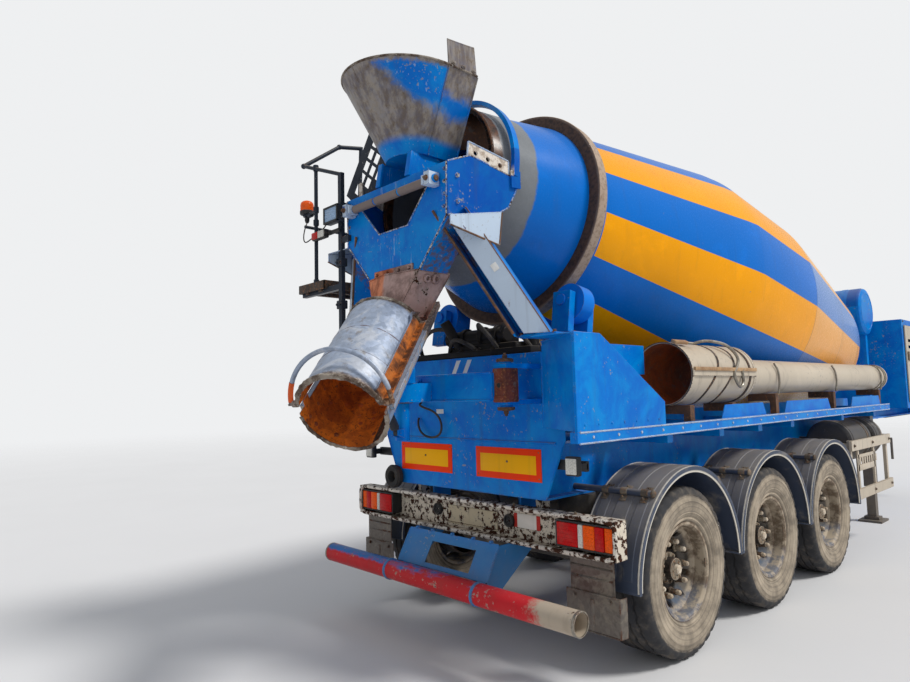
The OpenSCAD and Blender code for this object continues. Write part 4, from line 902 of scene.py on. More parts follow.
def make_wheels():
    """Tyres in place of the CAD's, and trim on every wheel."""
    tyre = tyre_mesh()
    trim, caps = wheel_trim_meshes()
    for i, x in enumerate(AXLES, 1):
        for word, side in SIDES.items():
            spot = "%d_%s" % (i, word)
            for mesh, name, slot in ((tyre, "tread_tyre", "tyre"), (trim, "wheel_trim", "dusty_rim"),
                                     (caps, "wheel_caps", "dusty_rim")):
                place, turn = at(x, side * WHEEL_Y, TYRE_R), 0 if side > 0 else pi
                piece = add_piece(name + "_" + spot, mesh, "wheel_" + spot, place, turn)
                if mesh is tyre:
                    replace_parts(piece, "tyre_" + spot)


GUARD_R, GUARD_IN, GUARD_OUT = 0.65, 0.85, 1.25
# Slope of the two bars that carry each mudguard, and their distance from the axle
GUARD_BAR_LEAN, GUARD_BAR_R = radians(52), 0.666


def guard_loops(x, side, section, steps, first):
    """Loops round an axle of a section of (radius, y), from first degrees to as far before the other end."""
    return [[(x + r * cos(a), side * y, TYRE_R + r * sin(a)) for r, y in section]
            for a in angles(first, 180 - first, steps)]


def guard_clamp(m, centre, along, lean):
    """A saddle over the bar, with its two bolted feet."""
    arcs = [(0.0255, angles(0, 180, 9)), (0.0203, angles(180, 0, 9))]
    m.rings([[centre + Vector((0, y, 0)) + along * (r * cos(b)) + lean * (r * sin(b))
              for r, arc in arcs for b in arc] for y in (-0.022, 0.022)])
    turn = Matrix((along, Vector(LEFT), lean)).transposed()
    half = Vector((0.02, 0.022, 0.004))
    for end in BOTH:
        foot = centre + along * (end * 0.042) - lean * 0.014
        m.box(foot - half, foot + half, 0.002, turn)
        m.bolt(foot + lean * 0.004, lean, 0.017, 0.006)


def make_mudguards():
    """Lips, pale flanges, raised bands, clamps and bolts of the plastic mudguards."""
    for word, side in SIDES.items():
        lips, bands, clamps = Maker(), Maker(), Maker()
        for x in AXLES:
            for y, r, thick, count in ((GUARD_OUT - 0.009, GUARD_R - 0.006, 0.0085, 10),
                                       (GUARD_IN + 0.008, GUARD_R - 0.004, 0.007, 8)):
                lips.tube([loop[0] for loop in guard_loops(x, side, [(r, y)], 40, 1)], thick, count)
            flange = [(0.6485, GUARD_OUT - 0.010), (0.6485, GUARD_OUT - 0.0015), (0.612, GUARD_OUT - 0.004),
                      (0.612, GUARD_OUT - 0.009)]
            lips.rings(guard_loops(x, side, flange, 60, 1))
            for y, half in ((0.92, 0.035), (1.05, 0.05), (1.17, 0.035)):
                section = [(GUARD_R - 0.002, y - half), (GUARD_R + 0.0035, y - half + 0.006),
                           (GUARD_R + 0.0035, y + half - 0.006), (GUARD_R - 0.002, y + half)]
                bands.rings(guard_loops(x, side, section, 48, 6))
            for end in BOTH:
                # end flange, bent inwards
                bands.box((x + end * (GUARD_R - 0.03), side * GUARD_IN, TYRE_R),
                          (x + end * GUARD_R, side * (GUARD_OUT - 0.01), TYRE_R + 0.014), 0.003)
                lean = Vector((end * cos(GUARD_BAR_LEAN), 0, sin(GUARD_BAR_LEAN)))
                along = Vector((sin(GUARD_BAR_LEAN), 0, -end * cos(GUARD_BAR_LEAN)))
                bar = Vector((x, 0, TYRE_R)) + lean * GUARD_BAR_R
                for y in (0.90, 1.03, 1.17):
                    guard_clamp(clamps, bar + Vector((0, side * y, 0)), along, lean)
                plug = [(0, 0.002), (0, 0.024), (0.008, 0.024), (0.014, 0.018), (0.016, 0.002)]
                clamps.lathe(bar + Vector((0, side * 1.214, 0)), (0, side, 0), plug, 20)
        lips.piece("mudguard_lips_" + word, "guard_plastic", "pale_plastic")
        bands.piece("mudguard_bands_" + word, "guard_plastic")
        clamps.piece("mudguard_clamps_" + word, "dark_paint", "dusty_steel")


# Lamp bar: its rear edges, web, lower and upper edge. Then the rear face and the wings' rear edge
BAR_REAR, BAR_WEB, BAR_LOW, BAR_HIGH = -0.80, -0.70, 0.721, 0.939
FACE_X, WING_X, WING_Y, WING_TOP = -0.77, -1.086, 1.188, 1.967


def make_lamp_bar():
    """Lips, end frames, sockets, bolts, lamps and the bare plates of the lamp bar."""
    frames, lip_x, thick = Maker(), BAR_REAR + 0.002, 0.0135
    for z in (BAR_LOW + 0.005, BAR_HIGH - 0.005):
        frames.tube([(lip_x, y, z) for y in (-1.12, -0.4, 0.4, 1.12)], thick, 12)
    end = [(1.11, 0.934), (1.16, 0.931), (1.192, 0.913), (1.203, 0.885), (1.203, 0.775), (1.192, 0.747),
           (1.16, 0.729), (1.11, 0.726)]
    for side in BOTH:
        frames.tube([(lip_x, side * y, z) for y, z in end], thick, 12, 3)
    frames.piece("lamp_bar_frames", "white_paint", "chipped_white")

    plate = Maker()
    plate.box((BAR_WEB - 0.004, -0.235, 0.752), (BAR_WEB + 0.001, 0.25, 0.872), 0.0015)
    plate.box((BAR_WEB - 0.007, -0.24, 0.745), (BAR_WEB - 0.001, 0.255, 0.755), 0.002)
    plate.piece("number_plate_blank", "cream_paint", "old_plate")
    sign = Maker()
    sign.box((BAR_WEB - 0.004, -0.60, 0.796), (BAR_WEB + 0.001, -0.383, 0.885), 0.0015)
    sign.piece("small_sign_blank", "white_paint", "small_sign")

    dark = Maker()
    socket = [(-0.002, 0.010), (-0.002, 0.044), (0.020, 0.042), (0.026, 0.036), (0.022, 0.030),
              (0.010, 0.028), (0.010, 0.010)]
    for y in (0.353, -0.346):
        dark.lathe((BAR_WEB, y, 0.83), BACK, socket, 28)
        for a in full_turn(5):
            pin_y, pin_z = y + 0.018 * cos(a), 0.83 + 0.018 * sin(a)
            dark.rod((BAR_WEB, pin_y, pin_z), (BAR_WEB - 0.018, pin_y, pin_z), 0.004, 8)
    for side in BOTH:
        # frame round each lamp cluster, and its back
        for x, y0, y1, z0, z1 in ((-0.792, 0.790, 0.800, 0.753, 0.907), (-0.792, 1.184, 1.194, 0.753, 0.907),
                                  (-0.792, 0.790, 1.194, 0.753, 0.762), (-0.792, 0.790, 1.194, 0.898, 0.907),
                                  (-0.760, 0.795, 1.190, 0.758, 0.902)):
            dark.box((x, side * y0, z0), (BAR_WEB, side * y1, z1), 0.002)
    dark.piece("lamp_housings", "dark_paint", "black_plastic")

    bolts = Maker()
    for side in BOTH:
        for y in (0.66, 0.70, 0.745):
            for z in (0.775, 0.88):
                bolts.bolt((BAR_WEB, side * y, z), BACK, 0.014)
        for y in (0.12, 0.42, 0.9):
            for z, out in ((BAR_LOW, DOWN), (BAR_HIGH, UP)):
                bolts.bolt((-0.74, side * y, z), out, 0.018, 0.004)
    bolts.piece("lamp_bar_bolts", "dark_paint", "dusty_steel")

    # lenses by colour: from y to y, and whether the lens is the lower one at the end
    lenses = {"red_lens": ((0.802, 0.950, 0), (1.068, 1.128, 0)),
              "amber_lens": ((0.988, 1.066, 0), (1.130, 1.182, 1)), "clear_lens": ((0.952, 0.986, 0),)}
    for colour, spans in lenses.items():
        m = Maker()
        for side in BOTH:
            for y0, y1, lower in spans:
                rear = -0.797 + 0.006 * lower
                m.box((rear, side * y0, 0.764), (-0.758, side * y1, 0.896), 0.006)
                for z in (0.764 + 0.022 * k for k in range(1, 6)):
                    m.box((rear - 0.0015, side * (y0 + 0.006), z - 0.002),
                          (-0.79, side * (y1 - 0.006), z + 0.002), 0.0008)
        piece = m.piece("rear_" + colour, "red_lens", colour)
        if colour == "red_lens":
            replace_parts(piece, "rear_lamps")


def make_boards():
    """Marking boards with their borders and pins."""
    boards, middles, pins = Maker(), Maker(), Maker()
    for side in BOTH:
        y0, y1 = sorted((side * 0.12, side * 0.685))
        boards.box((FACE_X - 0.0038, y0, 1.105), (FACE_X - 0.0001, y1, 1.305), 0.001)
        middles.box((FACE_X - 0.0048, y0 + 0.042, 1.147), (FACE_X - 0.002, y1 - 0.042, 1.263), 0.0005)
        pins.bolt((FACE_X - 0.0045, (y0 + y1) / 2, 1.218), BACK, 0.010)
        for y in (y0 + 0.02, y1 - 0.02):
            for z in (1.125, 1.285):
                pin = [(0, 0.0005), (0, 0.005), (0.0018, 0.004), (0.0026, 0.0005)]
                pins.lathe((FACE_X - 0.0035, y, z), BACK, pin, 10)
    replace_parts(boards.piece("marking_board_borders", "reflector", "board_red"), "marking_boards")
    middles.piece("marking_board_middles", "reflector", "board_yellow")
    pins.piece("marking_board_pins", "dark_paint", "dusty_steel")


def make_rear_face():
    """Folds, rivets, stickers, side lamps and the buffer of the rear face and its wings."""
    folds = Maker()
    # fold over the boards, and the bent upper and lower edges of the face
    ledge = [(0.002, 1.334), (-0.009, 1.343), (-0.009, 1.347), (0.002, 1.356)]
    folds.rings([[(FACE_X + x, y, z) for x, z in ledge] for y in (-0.80, 0.80)])
    folds.box((FACE_X - 0.004, -0.715, 1.893), (FACE_X + 0.05, 0.715, 1.904), 0.002)
    folds.box((FACE_X - 0.003, -0.715, 1.000), (FACE_X + 0.03, 0.715, 1.006), 0.002)
    for side in BOTH:
        # seams down the sides
        folds.rings([[(FACE_X + x, side * (y + dy), z)
                      for x, dy in ((0.002, -0.004), (-0.007, 0), (0.002, 0.004))]
                     for y, z in ((0.712, 1.002), (0.866, 1.36))])
        folds.rings([[(FACE_X + x, side * y, z) for x, y in ((0.003, 0.700), (-0.012, 0.716), (0.003, 0.735))]
                     for z in (1.442, 1.90)])
        # beads along the wing's rear edge, top and inner edge, and rivets at its foot
        folds.tube([(WING_X, side * WING_Y, z) for z in (1.40, 1.70, WING_TOP)], 0.0065, 10)
        top = ((WING_X, WING_TOP), (-0.85, WING_TOP), (-0.193, 1.578))
        folds.tube([(x, side * (WING_Y + 0.002), z) for x, z in top], 0.0065, 10)
        folds.tube([(-0.774, side * 0.72, 1.963), (WING_X, side * WING_Y, 1.963)], 0.006)
        for k in range(7):
            rivet = [(0, 0.0005), (0, 0.008), (0.004, 0.0065), (0.006, 0.0005)]
            folds.lathe((-1.02 + 0.125 * k, side * 1.199, 1.475), (0, side, 0), rivet, 12)
    folds.piece("rear_body_folds", "blue_paint")

    stickers = Maker()
    stickers.box((FACE_X - 0.0015, 0.202, 1.519), (FACE_X + 0.001, 0.278, 1.551), 0.0006)
    # two slanted strips near the top of the face
    for y in (0.110, 0.0):
        corners = ((y, 1.785), (y - 0.040, 1.785), (y - 0.100, 1.888), (y - 0.058, 1.888))
        stickers.prism([(FACE_X - 0.0012, *corner) for corner in corners], (0.0022, 0, 0))
    stickers.piece("reflector_stickers", "white_paint", "sticker")

    # side marker lamps on rubber arms, one a side
    lamps, glass = Maker(), Maker()
    for y in (-0.98, 0.98):
        lamps.box((-0.865, y - 0.045, 1.175), (-0.825, y + 0.045, 1.285), 0.008)
        lamps.box((-0.83, y - 0.02, 1.20), (-0.73, y + 0.02, 1.24), 0.004)
        lamps.box((-0.75, y / 0.98 * 0.72, 1.19), (-0.72, y / 0.98, 1.25), 0.004)
        glass.box((-0.874, y - 0.036, 1.185), (-0.862, y + 0.036, 1.275), 0.004)
    lamps.piece("side_lamp_bodies", "dark_paint", "black_plastic")
    glass.piece("side_lamp_lenses", "red_lens", "clear_lens")

    # rubber buffer on the left, held by a plate
    ring = Maker()
    buffer = [(0, 0.034), (-0.012, 0.060), (0.0, 0.083), (0.035, 0.088), (0.052, 0.076), (0.050, 0.046),
              (0.030, 0.036)]
    ring.lathe((-0.79, 0.735, 1.045), BACK, buffer, 36)
    ring.piece("dock_buffers", "bellows", "old_rubber")
    plate = Maker()
    plate.lathe((-0.765, 0.735, 1.045), BACK,
                [(0, 0.001), (0, 0.03), (0.02, 0.03), (0.03, 0.02), (0.034, 0.001)], 20)
    plate.box((-0.782, 0.69, 1.02), (-0.762, 0.79, 1.07), 0.002)
    plate.piece("buffer_plates", "dark_paint", "dusty_steel")


UNDERRUN_X, UNDERRUN_Z = -1.086, 0.464
# Rear faces of the flaps' lower and upper sheets
FLAP_X, FLAP_TOP_X = -0.7605, -0.7535


def make_underrun():
    """End rims, welds and bolts of the underrun bar, and the folds of the flaps."""
    rims, welds, flaps = Maker(), Maker(), Maker()
    rim = [(0, 0.0605), (0, 0.0668), (0.0155, 0.0675), (0.0175, 0.0655), (0.0175, 0.0605)]
    weld = [(-0.012, 0.0655), (-0.008, 0.072), (0.008, 0.072), (0.012, 0.0655)]
    for side in BOTH:
        rims.lathe((UNDERRUN_X, side * 1.158, UNDERRUN_Z), (0, side, 0), rim, 48)
        welds.lathe((UNDERRUN_X, side * 0.426, UNDERRUN_Z), LEFT, weld, 40)
        # bent edge of the sloped plate
        welds.tube([(-1.015, side * 0.43, 0.515), (-0.95, side * 0.43, 0.63), (-0.902, side * 0.43, 0.712)],
                   0.008, smooth=2)
    rims.piece("underrun_rims", "red_paint", "bare_steel")
    welds.box((-1.02, -0.43, 0.516), (-0.99, 0.43, 0.530), 0.004, Matrix.Rotation(radians(-64), 3, "Y"))
    for y in (-0.36, -0.2, 0.0, 0.2, 0.36):
        welds.bolt((-0.895, y, 0.723), (-0.82, 0, 0.57), 0.02)
    welds.piece("underrun_welds", "blue_paint")
    for side in BOTH:
        y0, y1 = sorted((side * 0.83, side * 1.19))
        middle, outer = (y0 + y1) / 2, side * 1.19
        # bent edges of the lower sheet, with a rib down its middle
        edge = ((-0.761, 0), (-0.757, 0.004), (-0.70, 0.010), (-0.70, 0.006))
        flaps.rings([[(x, outer + side * dy, z) for x, dy in edge] for z in (0.302, 0.41, 0.518)])
        for z in (0.305, 0.516):
            flaps.tube([(FLAP_X, y0 + 0.005, z), (FLAP_X, y1 - 0.005, z)], 0.005)
        rib = ((-0.759, -0.014), (-0.767, -0.006), (-0.767, 0.006), (-0.759, 0.014))
        flaps.rings([[(x, middle + dy, z) for x, dy in rib] for z in (0.335, 0.485)])
        for y in (y0 + 0.06, y1 - 0.06):
            flaps.bolt((FLAP_X, y, 0.49), BACK, 0.018)
        for z in (0.60, 0.66):
            flaps.rings([[(x, side * y, z + dz)
                          for x, dz in ((FLAP_TOP_X, -0.007), (-0.759, 0), (FLAP_TOP_X, 0.007))]
                         for y in (0.87, 1.15)])
        for y in (0.88, 1.14):
            flaps.bolt((-0.754, side * y, 0.705), BACK, 0.016)
    flaps.piece("mud_flap_folds", "steel", "dull_sheet")


PIN_X, PIN_Y = -1.04, -0.655
# Rear faces of the box beam and of its hinge block
BEAM_X, BLOCK_X = -1.119, -1.100


def make_beam():
    """Pin heads, rings, hinge block and edges of the box beam that carries the chute's post."""
    rust = Maker()
    for z, up in ((1.57, -1), (1.84, 1)):
        head = [(-0.002, 0.001), (-0.002, 0.052), (0.012, 0.052), (0.018, 0.045), (0.018, 0.001)]
        rust.lathe((PIN_X, PIN_Y, z), (0, 0, up), head, 28)
        rust.bolt((PIN_X, PIN_Y, z + up * 0.017), (0, 0, up), 0.034, 0.01)
    for z in (1.606, 1.65, 1.70, 1.745, 1.79):
        rust.band((PIN_X, PIN_Y, z), UP, 0.009, 0.0395, 0.0445, 28)
    collar = [(-0.002, 0.0475), (-0.002, 0.072), (0.0, 0.072), (0.004, 0.064), (0.004, 0.0475)]
    rust.lathe((POST_X, 0, 1.608), DOWN, collar, 30)
    rust.piece("beam_pin_rings", "rusty_steel")

    block, hole = Maker(), Maker()
    block.box((BLOCK_X, -0.712, 1.600), (-0.985, -0.606, 1.800), 0.008)
    block.box((BLOCK_X - 0.004, -0.706, 1.612), (BLOCK_X + 0.005, -0.612, 1.640), 0.003)
    rim = [(-0.002, 0.016), (-0.002, 0.030), (0.005, 0.028), (0.005, 0.016)]
    block.lathe((BLOCK_X + 0.0005, -0.659, 1.70), BACK, rim, 22)
    block.piece("beam_hinge_block", "rusty_steel", "red_brown")
    # black disc in the hinge block's hole: painted shade of the hole
    disc = [(-0.004, 0.0005), (-0.004, 0.0155), (0.001, 0.0155), (0.0012, 0.0005)]
    hole.lathe((BLOCK_X - 0.0005, -0.659, 1.70), BACK, disc, 18)
    hole.piece("beam_hinge_hole_shade", "dark_paint", "black_plastic")

    trim = Maker()
    for z in (1.615, 1.775):
        trim.tube([(BEAM_X, y, z) for y in (-0.61, -0.2, 0.07)], 0.007)
    trim.box((BEAM_X - 0.007, 0.02, 1.63), (BEAM_X + 0.001, 0.065, 1.76), 0.002)
    for z in (1.65, 1.74):
        trim.bolt((BEAM_X - 0.007, 0.042, z), BACK, 0.018)
    trim.piece("beam_edges", "blue_paint")


def round_chute(x, r, a):
    """A point round the chute's axis, a counted from straight up."""
    return Vector((x, r * sin(a), r * cos(a)))


def rough_arc(x, radius, first, last, wobble, seed):
    """Points round the chute's axis between two angles, with uneven radius."""
    dice = random.Random(seed)
    return [Vector((x, (radius + wobble * dice.uniform(-1, 1)) * sin(a),
                    (radius + wobble * dice.uniform(-1, 1)) * cos(a))) for a in angles(first, last, 10)]


def make_chute_crust():
    """Lumpy dried concrete on the chute's rims and in its trough, and the worn liner strip."""
    rim, lumps, liner = (Maker(CHUTE_PLACE) for _ in range(3))
    dice = random.Random(7)
    lower = [(0.005, 0.2375), (0.0, 0.2345), (-0.002, 0.238), (-0.003, 0.245), (-0.002, 0.250),
             (0.003, 0.2545), (0.012, 0.2545), (0.018, 0.247)]
    thinner = [(s, r - (0.010 if r > 0.25 else 0)) for s, r in lower]
    for first, last, section in ((-76, 76, lower), (93, 267, thinner)):
        loops = []
        for a in angles(first, last, 48):
            lump = [dice.uniform(0, 0.007) for _ in section]
            loops.append([round_chute(-CHUTE_L + s - 0.3 * v, r + (v if r > 0.245 else -v), a)
                          for (s, r), v in zip(section, lump)])
        rim.rings(loops)
    upper = [(-0.022, 0.2425), (-0.016, 0.2475), (-0.002, 0.2485), (0.004, 0.243), (0.003, 0.2375),
             (-0.006, 0.2365)]
    loops = []
    for a in angles(-78, 78, 40):
        lump = [dice.uniform(0, 0.005) for _ in upper]
        loops.append([round_chute(s + 0.4 * v, r + v, a) for (s, r), v in zip(upper, lump)])
    rim.rings(loops)
    rim.piece("chute_rim_crust", "galvanised", "crust", "chute")

    liner.rings([rough_arc(-0.74 + 0.1 * i, 0.2368, 206, 238, 0.0006, 3 + i)
                 + rough_arc(-0.74 + 0.1 * i, 0.2345, 238, 206, 0.0004, 9 + i) for i in range(11)])
    liner.piece("chute_liner", "galvanised", "dark_liner", "chute")

    for _ in range(70):
        a, x = radians(dice.uniform(100, 260)), dice.uniform(-0.74, 0.25)
        size = dice.uniform(0.006, 0.016)
        lump = [(-0.002, 0.0004), (-0.001, size), (size * 0.22, size * 0.7), (size * 0.32, 0.0004)]
        lumps.lathe(round_chute(x, 0.2375, a), round_chute(0, -1, a), lump, 9)
    lumps.piece("chute_lumps", "galvanised", "orange_inside", "chute")


HANDLE_X, HANDLE_R, HANDLE_LEAN = -0.735, 0.285, radians(22)


def make_chute_trim():
    """Beads, bolts, rivets, seams, bent flange and handle of the chute."""
    trim = Maker(CHUTE_PLACE)
    for side in BOTH:
        # beads along the hood's bent edge and the trough's bar
        trim.tube([(x, side * 0.268, SLOT_HIGH + 0.004) for x in (-CHUTE_L + 0.02, -0.35, -0.01)], 0.006,
                  smooth=2)
        trim.tube([(x, side * 0.266, SLOT_LOW - 0.003) for x in (-CHUTE_L + 0.065, 0.295)], 0.005)
        for x in (-0.67, -0.06):
            for y, z in ((0.2445, -0.012), (0.2445, 0.030), (0.2435, 0.052)):
                trim.bolt((x, side * y, z), (0, side, 0), 0.018)
        # socket of the handle, and rivets
        trim.rod((HANDLE_X, side * 0.2435, SLOT_HIGH), (HANDLE_X, side * 0.276, SLOT_HIGH), 0.019)
        for k in range(5):
            rivet = [(0, 0.0004), (0, 0.007), (0.003, 0.006), (0.0045, 0.0004)]
            trim.lathe((-0.12 - 0.13 * k, side * 0.256, SLOT_HIGH + 0.005), UP, rivet, 10)
    # seams of the rolled sheet
    for x in (-0.30, -0.52):
        seam = ((-0.005, 0.2425), (0, 0.2448), (0.005, 0.2425))
        trim.rings([[round_chute(x + s, r, a) for s, r in seam] for a in angles(-74, 74, 40)])
    # bent flange along the hood's right edge above the slot, uneven at its upper end
    section = ((0.2415, 0), (0.247, 0.004), (0.272, 0.012), (0.273, 0.008), (0.248, -0.003))
    loops = []
    for k in range(15):
        a = radians({13: 56, 14: 66}.get(k, 60))
        x = HANDLE_X + 0.735 * k / 14
        loops.append([round_chute(x, -r, a) * Vector((1, 1, -1)) + Vector((0, 0, lift))
                      for r, lift in section])
    trim.rings(loops)
    trim.piece("chute_trim", "galvanised", None, "chute")

    # tape round the handle's left end
    grip, loops = Maker(CHUTE_PLACE), []
    side = Vector((cos(HANDLE_LEAN), 0, -sin(HANDLE_LEAN)))
    for a in angles(66, 88, 12):
        out = Vector((cos(a) * sin(HANDLE_LEAN), sin(a), cos(a) * cos(HANDLE_LEAN)))
        loops.append(circle(Vector((HANDLE_X, 0, SLOT_HIGH)) + out * HANDLE_R, out, side, 0.0142, 14))
    grip.rings(loops)
    grip.piece("chute_handle_tape", "galvanised", "rusty_tape", "chute")


def make_funnel():
    """Bolts, rim, seams and lug holes of the funnel under the V plate."""
    m = Maker()
    for y in (-0.17, -0.06, 0.06, 0.17):
        for z in (2.40, 2.445):
            m.bolt((-1.358, y, z), BACK, 0.020)
    m.tube([(-1.36, 0.255, 2.419), (-1.42, 0, 2.419), (-1.36, -0.255, 2.419)], 0.006)
    m.tube([(x, y, 2.419) for x, y in ((-1.36, -0.255), (-1.10, -0.255), (-1.10, 0.255), (-1.36, 0.255))],
           0.005)
    dice = random.Random(4)
    section = ((0.1695, 2.156), (0.1745, 2.150), (0.1745, 2.140), (0.168, 2.137), (0.1635, 2.142))
    loops = []
    for k, a in enumerate(angles(0, 360, 48)):
        lump = dice.uniform(0, 0.003) if 0 < k < 48 else 0.001
        loops.append([(POST_X + (r + lump) * cos(a), (r + lump) * sin(a), z) for r, z in section])
    m.rings(loops)
    for side, x0, x1 in ((-1, -1.36, -1.42), (1, -1.36, -1.42), (-1, -1.10, -1.18)):
        middle = ((x0 + x1) / 2, side * 0.1875 * 0.98, 2.28)
        m.tube([(x0, side * 0.255, 2.41), middle, (x1, side * 0.12, 2.16)], 0.004, 6, 3)
    # lugs with a hole each on the right face
    for place, outer, thick in (((-1.215, -0.252, 2.375), 0.034, 0.009),
                                ((-1.285, -0.252, 2.372), 0.028, 0.008)):
        hole, shoulder = (0.014, 0.026) if thick > 0.0085 else (0.012, 0.022)
        lug = [(-0.004, hole), (-0.004, outer), (0.006, outer - 0.002), (thick, shoulder), (thick, hole)]
        m.lathe(place, (0, -1, -0.28), lug, 20)
    m.piece("funnel_trim", "rusty_steel", "funnel")


HOPPER_RIM_Z = 3.7165


def make_hopper():
    """Rim bead, bolts, bracket plates, seams and crust of the charging hopper."""
    rim, m = Maker(), Maker()
    round_back = [(-1.20 + 0.4575 * cos(a), -0.4075 * sin(a)) for a in angles(90, 270, 32)]
    outline = [(-0.955, -0.4075), *round_back, (-0.955, 0.4075)]
    rim.tube([(x, y, HOPPER_RIM_Z) for x, y in outline], 0.0078, 10)
    rim.piece("hopper_rim", "blue_paint", "crust")
    for side in BOTH:
        # edges of the side sheets, and edges and bolts of the flaps above them
        m.tube([(-0.953, side * 0.4065, 3.71), (-0.953, side * 0.181, 3.205)], 0.007)
        m.tube([(-1.20, side * 0.4085, 3.71), (-1.20, side * 0.1825, 3.205)], 0.0045)
        for a, b, thick in (((-1.206, 3.880), (-0.977, 3.900), 0.006),
                            ((-1.206, 3.885), (-1.20, 3.71), 0.005), ((-0.977, 3.905), (-0.96, 3.71), 0.005)):
            m.tube([(x, side * 0.402, z) for x, z in (a, b)], thick)
        for x in (-1.165, -1.08, -0.99):
            m.bolt((x, side * 0.4125, 3.735), (0, side, 0), 0.020)
        # bracket's flange and bolts
        y = side * 0.155
        m.box((-1.345, y - 0.022, 3.035), (-1.325, y + 0.022, 3.20), 0.003,
              Matrix.Rotation(radians(10), 3, "Y"))
        for z in (3.08, 3.15):
            m.bolt((-1.346 + 0.18 * (z - 3.03), y, z), (-1, 0, 0.18), 0.016)
    # seam down the back
    m.tube([(-1.352, 0, 3.212), (-1.50, 0, 3.46), (-1.655, 0, 3.706)], 0.0035, 6)
    m.piece("hopper_trim", "blue_paint")


# V frame: the V plate's edge beads, the flare of its side plates, and the ends of a leg's axis
VEE_X, VEE_Y, FLARE = -1.352, 0.52, radians(11.5)
LEG_FOOT, LEG_HEAD = Vector((-0.970, 0.950, 1.910)), Vector((-1.200, 0.520, 2.700))
PIPE_X, PIPE_Z = -1.39, 2.93


def flare_point(side, along, z, out=0.008):
    """A point on a side plate of the V frame, along it from its rear edge."""
    return Vector((-1.34 + along * cos(FLARE) - out * sin(FLARE),
                   side * (VEE_Y + along * sin(FLARE) + out * cos(FLARE)), z))


def leg_point(side, x, y, z):
    """A point of a leg's section whose height is z."""
    d = LEG_HEAD - LEG_FOOT
    turn = Matrix.Rotation(atan2(d.y, d.x), 3, "Z") @ Matrix.Rotation(acos(d.z / d.length), 3, "Y")
    base, axis = LEG_FOOT + turn @ Vector((x, y, 0)), turn @ Vector(UP)
    p = base + axis * ((z - base.z) / axis.z)
    return Vector((p.x, side * p.y, p.z))


def make_leg_sticker():
    """The small pale square on the right leg's outer face."""
    m, y, z = Maker(), -0.0925, 2.377
    place = leg_point(-1, 0.002, y, z)
    axis = (leg_point(-1, 0, y, 2.5) - leg_point(-1, 0, y, 2.3)).normalized()
    across = leg_point(-1, 0.1, y, z) - leg_point(-1, 0, y, z)
    across = (across - axis * across.dot(axis)).normalized()
    half = Vector((0.019, 0.024, 0.0012))
    m.box(place - half, place + half, 0.0005, Matrix((across, axis, axis.cross(across))).transposed())
    m.piece("leg_sticker", "white_paint", "sticker")


